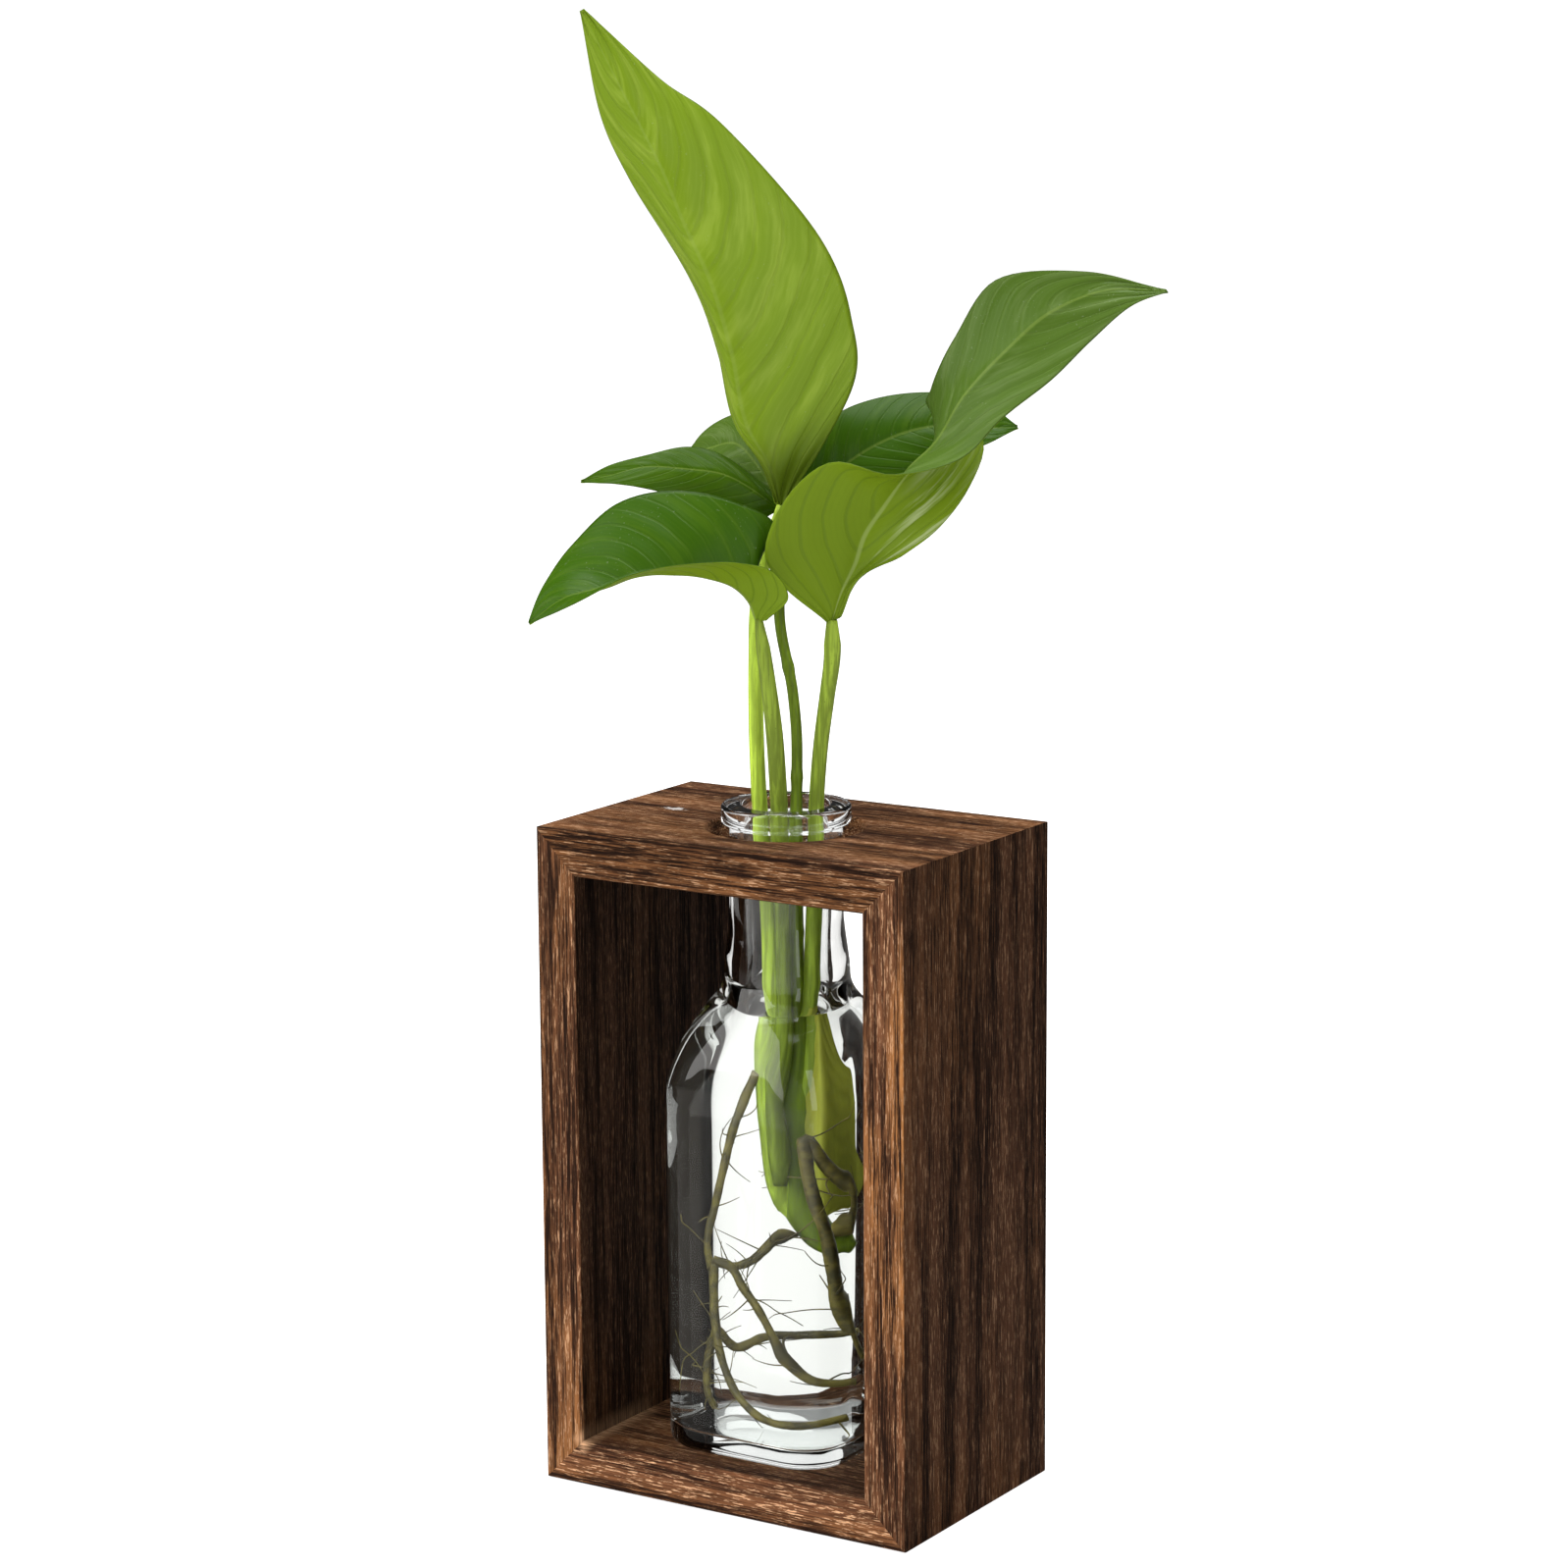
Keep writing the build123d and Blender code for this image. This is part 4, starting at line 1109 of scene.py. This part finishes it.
class VASE_OT_water(bpy.types.Operator):
    """Fills the bottle with water up to the foot of its neck. The surface climbs the glass and falls
    away from it exponentially."""

    bl_idname = "vase.water"
    bl_label = "Water"

    def execute(self, context):
        settings = context.scene.vase_bottle
        level, climb = settings.water_level, settings.meniscus
        rows = inner_profile(settings, water_overlap)
        rows = rows[rows[:, 2] < level + climb][::-1]
        edge, roundness, _ = rows[-1]
        share = np.linspace(1.0, middle_share, water_steps)
        curl = climb * np.exp(-(1 - share) * edge / meniscus_reach)
        rows = np.concatenate([rows, profile_rows(edge * share, roundness, level + curl)])
        piece = closed_skin("water", turned_skin(rows, bottle_sides))
        water = see_through("water", settings.water_tint, water_index, water_mirror)
        dress(piece, water, "clear_glass", "bottle")
        return {"FINISHED"}


class VASE_OT_stems(bpy.types.Operator):
    """Builds the vine's stem, the leaf stalks and the sheath"""

    bl_idname = "vase.stems"
    bl_label = "Stem and stalks"

    def execute(self, context):
        settings = context.scene.vase_plant
        path = smooth_path(stem_places(settings, stem_shares), stem_rows)
        even = np.linspace(0.0, 1.0, stem_rows)
        swell = smooth_rows(stem_swell_shares, np.linspace(0.0, 1.0, len(stem_swell_shares)), even)
        rings = sum(ring_swell * bell(even - node, ring_reach) for node in stem_nodes)
        piece = tube("stem", path, settings.stem_radius * (swell + rings), stem_sides)
        skin = stalk_material("vine", settings.stem_colour, stem_shaded, stem_seed)
        dress(piece, skin, "stem_green", "cutting", "vine_stem")
        for index, (name, shares) in enumerate(stalk_shares.items()):
            across, toward, up, thickness = np.array(shares).T
            places = stem_places(settings, np.stack([across, toward, up], axis=1))
            knots = knots_of(places)
            along = np.linspace(0.0, knots[-1], stalk_rows)
            radius = settings.stalk_radius * np.interp(along, knots, thickness)
            radius[-closing_rows:] *= np.linspace(1.0, stalk_end_share, closing_rows)
            radius[:closing_rows] *= np.linspace(stalk_foot_share, 1.0, closing_rows)
            path = smooth_path(places, stalk_rows)
            piece = tube(f"{name}_petiole", path, radius, stalk_sides, stalk_groove)
            # The second tone is higher than the first by painted light above the rim
            below, above = stalk_tones_and_painted_light[name]
            tone = dimmed(settings.stalk_colour, below)
            skin = stalk_material(f"{name} stalk", tone, stalk_shaded, index, above / below)
            dress(piece, skin, "stalk_green", "cutting", f"{name}_stalk")
        foot = stem_places(settings, sheath_top_shares)
        blade = blade_grid(settings, "sheath", foot, sheath_sections, *sheath_look)
        piece = closed_skin("sheath", *blade)
        skin = stalk_material("sheath", settings.sheath_colour, sheath_shaded, sheath_seed)
        dress(piece, skin, "sheath_olive", "cutting", "stem_sheath")
        return {"FINISHED"}


class VASE_OT_leaves(bpy.types.Operator):
    """Builds the six leaves"""

    bl_idname = "vase.leaves"
    bl_label = "Leaves"

    def execute(self, context):
        settings = context.scene.vase_plant
        for index, (name, rows) in enumerate(leaf_sections.items()):
            end = stem_places(settings, np.array(stalk_shares[name])[:, :3])
            foot = end[-1] - unit(end[-1] - end[-2]) * leaf_seat
            size, arch, waves, *look = leaf_looks[name]
            rib = settings.midrib_depth * size / (100 * mm)
            bends = size, arch, waves, settings.leaf_thickness, rib, leaf_fold
            piece = closed_skin(f"{name}_blade", *blade_grid(settings, name, foot, rows, *bends))
            skin = context.scene.vase_leaves.material_for(name, index, *look)
            dress(piece, skin, "pale_leaf" if name == "tall_leaf" else "dark_leaf", "cutting", name)
        return {"FINISHED"}


# A main root's two waves: depth, how many radians each runs through, and its step from root to root
root_waves = ((0.05, 40.0, 1.0), (0.03, 239.7, 0.0))
# The fine roots: seed, lengths in millimetres, distance from the glass and depth under the water
hair_seed, hair_lengths, hair_clearance, hair_depth = 11, (4, 15), 3.6 * mm, 20 * mm
# Rows of a main root between which they start, their curl, taper and bow, and their gap to the floor
hair_starts, hair_curl, hair_taper, hair_bow, hair_gap = (4, 88), 0.35, 0.4, 0.4 * mm, 0.6 * mm


class VASE_OT_roots(bpy.types.Operator):
    """Builds the eight main roots, whose knobs are two sine waves, and the fine side roots. Each of
    those leaves a root at random and curls away from its heading by the square of its length."""

    bl_idname = "vase.roots"
    bl_label = "Roots"

    def execute(self, context):
        settings = context.scene.vase_plant
        bottle = context.scene.vase_bottle
        skin = root_material("root", settings.root_colour)
        even = np.linspace(0.0, 1.0, root_rows)
        lines = []
        for index, (name, shares) in enumerate(root_shares.items()):
            lines.append(smooth_path(root_places(settings, shares), root_rows))
            radius = np.linspace(settings.root_radius, settings.root_tip_radius, root_rows)
            knobs = sum(depth * np.sin(run * even + step * index) for depth, run, step in root_waves)
            piece = tube(f"{name}_fibre", lines[-1], radius * (1 + knobs), root_sides)
            dress(piece, skin, "root_brown", "cutting", name)
        draws = np.random.default_rng(hair_seed)
        count = settings.hair_count
        chosen = draws.integers(0, len(lines), count)
        start = np.array(lines)[chosen, draws.integers(*hair_starts, count)]
        heading = unit(draws.normal(size=(count, 3)) * (1.0, 1.0, 0.7))
        curl = draws.normal(size=(count, 3))
        reach = draws.uniform(*hair_lengths, count)[:, None, None] * mm
        share = np.linspace(0.0, 1.0, hair_rows)[None, :, None]
        straight, curled = heading[:, None] * reach * share, curl[:, None] * reach * hair_curl * share**2
        path = start[:, None] + straight + curled
        inner = bottle.body_width / 2 - bottle.wall - hair_clearance
        low = (bottle_x - inner, bottle_y - inner, inner_floor() + hair_gap)
        high = (bottle_x + inner, bottle_y + inner, bottle.water_level - hair_depth)
        path = np.clip(path, low, high)
        path = path + share * (1 - share) * hair_bow * np.sin(np.arange(count))[:, None, None]
        radius = np.linspace(settings.hair_radius, settings.hair_radius * hair_taper, hair_rows)
        skins = np.array([tube_points(line, radius, hair_sides) for line in path])
        hairs = closed_skin("root_hairs", skins)
        dress(hairs, skin, "root_brown", "cutting")
        return {"FINISHED"}


class LeafSettings(bpy.types.PropertyGroup):
    tall_deep: colour("Tall leaf, deep", "Darker green of the tall leaf", (0.175, 0.275, 0.012))
    tall_light: colour("Tall leaf, light", "Paler green of the tall leaf", (0.29, 0.40, 0.045))
    dark_deep: colour("Dark leaves, deep", "Darkest green of the small leaves", (0.036, 0.100, 0.002))
    dark_light: colour("Dark leaves, light", "Paler streaks of the small leaves", (0.075, 0.155, 0.006))
    twist_deep: colour("Twisted leaf, deep", "Darker green of the twisted leaf", (0.072, 0.135, 0.016))
    twist_light: colour("Twisted leaf, light", "Paler green of the twisted leaf", (0.13, 0.20, 0.055))
    bright_deep: colour("Bright leaf, deep", "Green of the small left leaf", (0.040, 0.100, 0.0005))
    bright_light: colour("Bright leaf, light", "Paler green of the left leaf", (0.07, 0.145, 0.002))
    underside: colour("Underside", "Pale green of the undersides", (0.175, 0.27, 0.010))
    vein: colour("Veins", "Pale green of midrib and veins", (0.28, 0.38, 0.08))

    def material_for(self, name, seed, greens, strengths):
        deep, light = getattr(self, f"{greens}_deep"), getattr(self, f"{greens}_light")
        tones = deep, light, self.vein, self.underside
        return leaf_material(f"{name} skin", *tones, *strengths, float(seed))


# Each lamp's place, the height that it aims at, its width and height, its power and its tint
lamps = {
    "key": ((-0.7, -1.1, 0.9), 0.18, (1.5, 1.5), 21.0, (1.0, 0.99, 0.97)),
    "fill": ((1.3, -0.7, 0.6), 0.18, (0.7, 1.2), 7.0, (1.0, 1.0, 1.0)),
    "top": ((0.0, 0.1, 1.4), 0.20, (1.0, 1.0), 22.0, (1.0, 1.0, 1.0)),
}
# Width of the camera's sensor in millimetres
sensor_width = 36.0
# The floor's tone, and its tone where glass and water mirror it
floor_pale, floor_mirrored = (0.86, 0.86, 0.86), (0.25, 0.24, 0.23)
# The floor's glow to the camera: from where to where it rises, and its strength there
floor_glow = (0.15, 0.9, 0.72, 0.85)


def area_light(name, place, aim, size, power, tint):
    """A soft rectangular lamp that faces its aim on the vase's axis."""
    lamp = bpy.data.lights.new(name, "AREA")
    lamp.shape = "RECTANGLE"
    lamp.size, lamp.size_y = size
    lamp.energy, lamp.color = power, tint
    holder = put(name, lamp)
    holder.location = place
    holder.rotation_euler = (Vector((0, 0, aim)) - Vector(place)).to_track_quat("-Z", "Y").to_euler()


def flat_mesh(name, corners, faces, material):
    """Flat faces between the corners, in one material."""
    mesh = bpy.data.meshes.new(name)
    mesh.from_pydata(corners, [], faces)
    mesh.materials.append(material)
    thing = put(name, mesh)
    return thing


def flag(name, side, settings):
    """A dark card behind the vase, leading away from it to one side, and on the right a foot on the
    floor. Only light that has passed through the glass meets it, and it glows faintly in its painted
    dark tone, so the glass has painted dark edges against the white backdrop."""
    azimuth = settings.azimuth
    ahead = Vector((-math.sin(azimuth), math.cos(azimuth), 0))
    across = Vector((math.cos(azimuth), math.sin(azimuth), 0)) * side
    near = across * settings.flag_gap - ahead * settings.flag_near
    far = ahead * settings.flag_far + across * settings.flag_spread
    inner = ahead * settings.flag_near + across * settings.flag_foot
    outer = ahead * settings.flag_foot_end + across * settings.flag_foot * settings.flag_foot_widening
    middle = near.lerp(far, settings.flag_foot_end / settings.flag_far)
    near_top = near + Vector((0, 0, settings.flag_near_height))
    corners = [near, far, far + Vector((0, 0, settings.flag_height)), near_top, inner, outer, middle]
    faces = [(0, 1, 2, 3), (0, 6, 5, 4)] if side > 0 else [(0, 1, 2, 3)]
    recipe = Recipe(name)
    # A faint glow in the painted dark tone
    glow = recipe.add("Emission", {"Color": opaque(settings.flag_tone)})
    card = flat_mesh(name, corners, faces, recipe.finish(glow))
    card.location.z = settings.flag_lift
    card.visible_camera = card.visible_diffuse = card.visible_shadow = card.visible_glossy = False


def pale_floor():
    """Pale matt floor that is white to the camera and darker where glass and water mirror it."""
    recipe = Recipe("floor")
    away = recipe.vector("LENGTH", recipe.here(), (0, 0, 0), 1)
    strength = recipe.seen() * recipe.shift(away, *floor_glow)
    glow = recipe.add("Emission", {"Color": (1, 1, 1, 1), "Strength": strength})
    pale = recipe.mix(recipe.ray("Glossy"), floor_pale, floor_mirrored)
    matt = recipe.add("BsdfDiffuse", {"Color": pale})
    return recipe.finish(recipe.add("AddShader", {0: matt, 1: glow}))


def soft_room(settings):
    """Soft light on matt surfaces, little in reflections, and white where the backdrop is seen."""
    recipe = Recipe("studio", "worlds")
    mirrored = recipe.ray("Glossy")
    unseen = recipe.add("MapRange", {0: mirrored, 3: settings.ambient, 4: settings.reflected})
    strength = recipe.add("MapRange", {0: recipe.seen(), 3: unseen, 4: settings.backdrop})
    return recipe.finish(recipe.add("Background", {0: (1, 1, 1, 1), 1: strength}), "World")


def camera_at(settings):
    """The photograph's camera, turned to its azimuth, raised to its elevation and rolled."""
    azimuth, elevation, roll = settings.azimuth, settings.elevation, settings.roll
    level = math.cos(elevation)
    back = Vector((math.sin(azimuth) * level, -math.cos(azimuth) * level, math.sin(elevation)))
    level_right = (-back).cross(Vector((0, 0, 1))).normalized()
    level_up = level_right.cross(-back)
    right = level_right * math.cos(roll) + level_up * math.sin(roll)
    up = level_up * math.cos(roll) - level_right * math.sin(roll)
    camera = bpy.data.cameras.new("camera")
    camera.lens = settings.lens
    camera.sensor_width = sensor_width
    holder = put("camera", camera)
    turn = Matrix((right, up, back)).transposed().to_4x4()
    holder.matrix_world = Matrix.Translation(Vector(settings.camera_place)) @ turn
    return holder


class VASE_OT_stage(bpy.types.Operator):
    """Sets the pale floor, the soft lamps, the world and the camera"""

    bl_idname = "vase.stage"
    bl_label = "Stage"

    def execute(self, context):
        settings = context.scene.vase_stage
        half = settings.floor_size / 2
        corners = [(-half, -half, 0), (half, -half, 0), (half, half, 0), (-half, half, 0)]
        floor = flat_mesh("floor", corners, [(0, 1, 2, 3)], pale_floor())
        floor.location.z = -settings.floor_drop
        for name, lamp in lamps.items():
            area_light(name, *lamp)
        for side in (-1, 1):
            flag(f"flag_{side + 1}", side, settings)
        scene = context.scene
        scene.world = soft_room(settings)
        scene.camera = camera_at(settings)
        scene.view_settings.view_transform = "Standard"
        return {"FINISHED"}


groups = (
    ("vase_bottle", BottleSettings),
    ("vase_wood", WoodSettings),
    ("vase_plant", PlantSettings),
    ("vase_leaves", LeafSettings),
    ("vase_stage", StageSettings),
)
operators = (
    VASE_OT_frame, VASE_OT_bottle, VASE_OT_water, VASE_OT_stems, VASE_OT_leaves, VASE_OT_roots,
    VASE_OT_stage,
)


class VASE_PT_sidebar(bpy.types.Panel):
    """Settings and steps of the vase"""

    bl_idname = "VASE_PT_sidebar"
    bl_label = "Propagation vase"
    bl_space_type = "VIEW_3D"
    bl_region_type = "UI"
    bl_category = "Vase"

    def draw(self, context):
        for operator in operators:
            self.layout.operator(operator.bl_idname)
        for key, group in groups:
            box = self.layout.box()
            for name in group.__annotations__:
                box.prop(getattr(context.scene, key), name)


def register():
    for key, group in groups:
        bpy.utils.register_class(group)
        setattr(bpy.types.Scene, key, PointerProperty(type=group))
    for kind in (*operators, VASE_PT_sidebar):
        bpy.utils.register_class(kind)


def unregister():
    for kind in (VASE_PT_sidebar, *operators):
        bpy.utils.unregister_class(kind)
    for key, group in groups:
        delattr(bpy.types.Scene, key)
        bpy.utils.unregister_class(group)


def main():
    register()
    bpy.ops.vase.frame()
    bpy.ops.vase.bottle()
    bpy.ops.vase.water()
    bpy.ops.vase.stems()
    bpy.ops.vase.leaves()
    bpy.ops.vase.roots()
    bpy.ops.vase.stage()


if __name__ == "__main__":
    main()
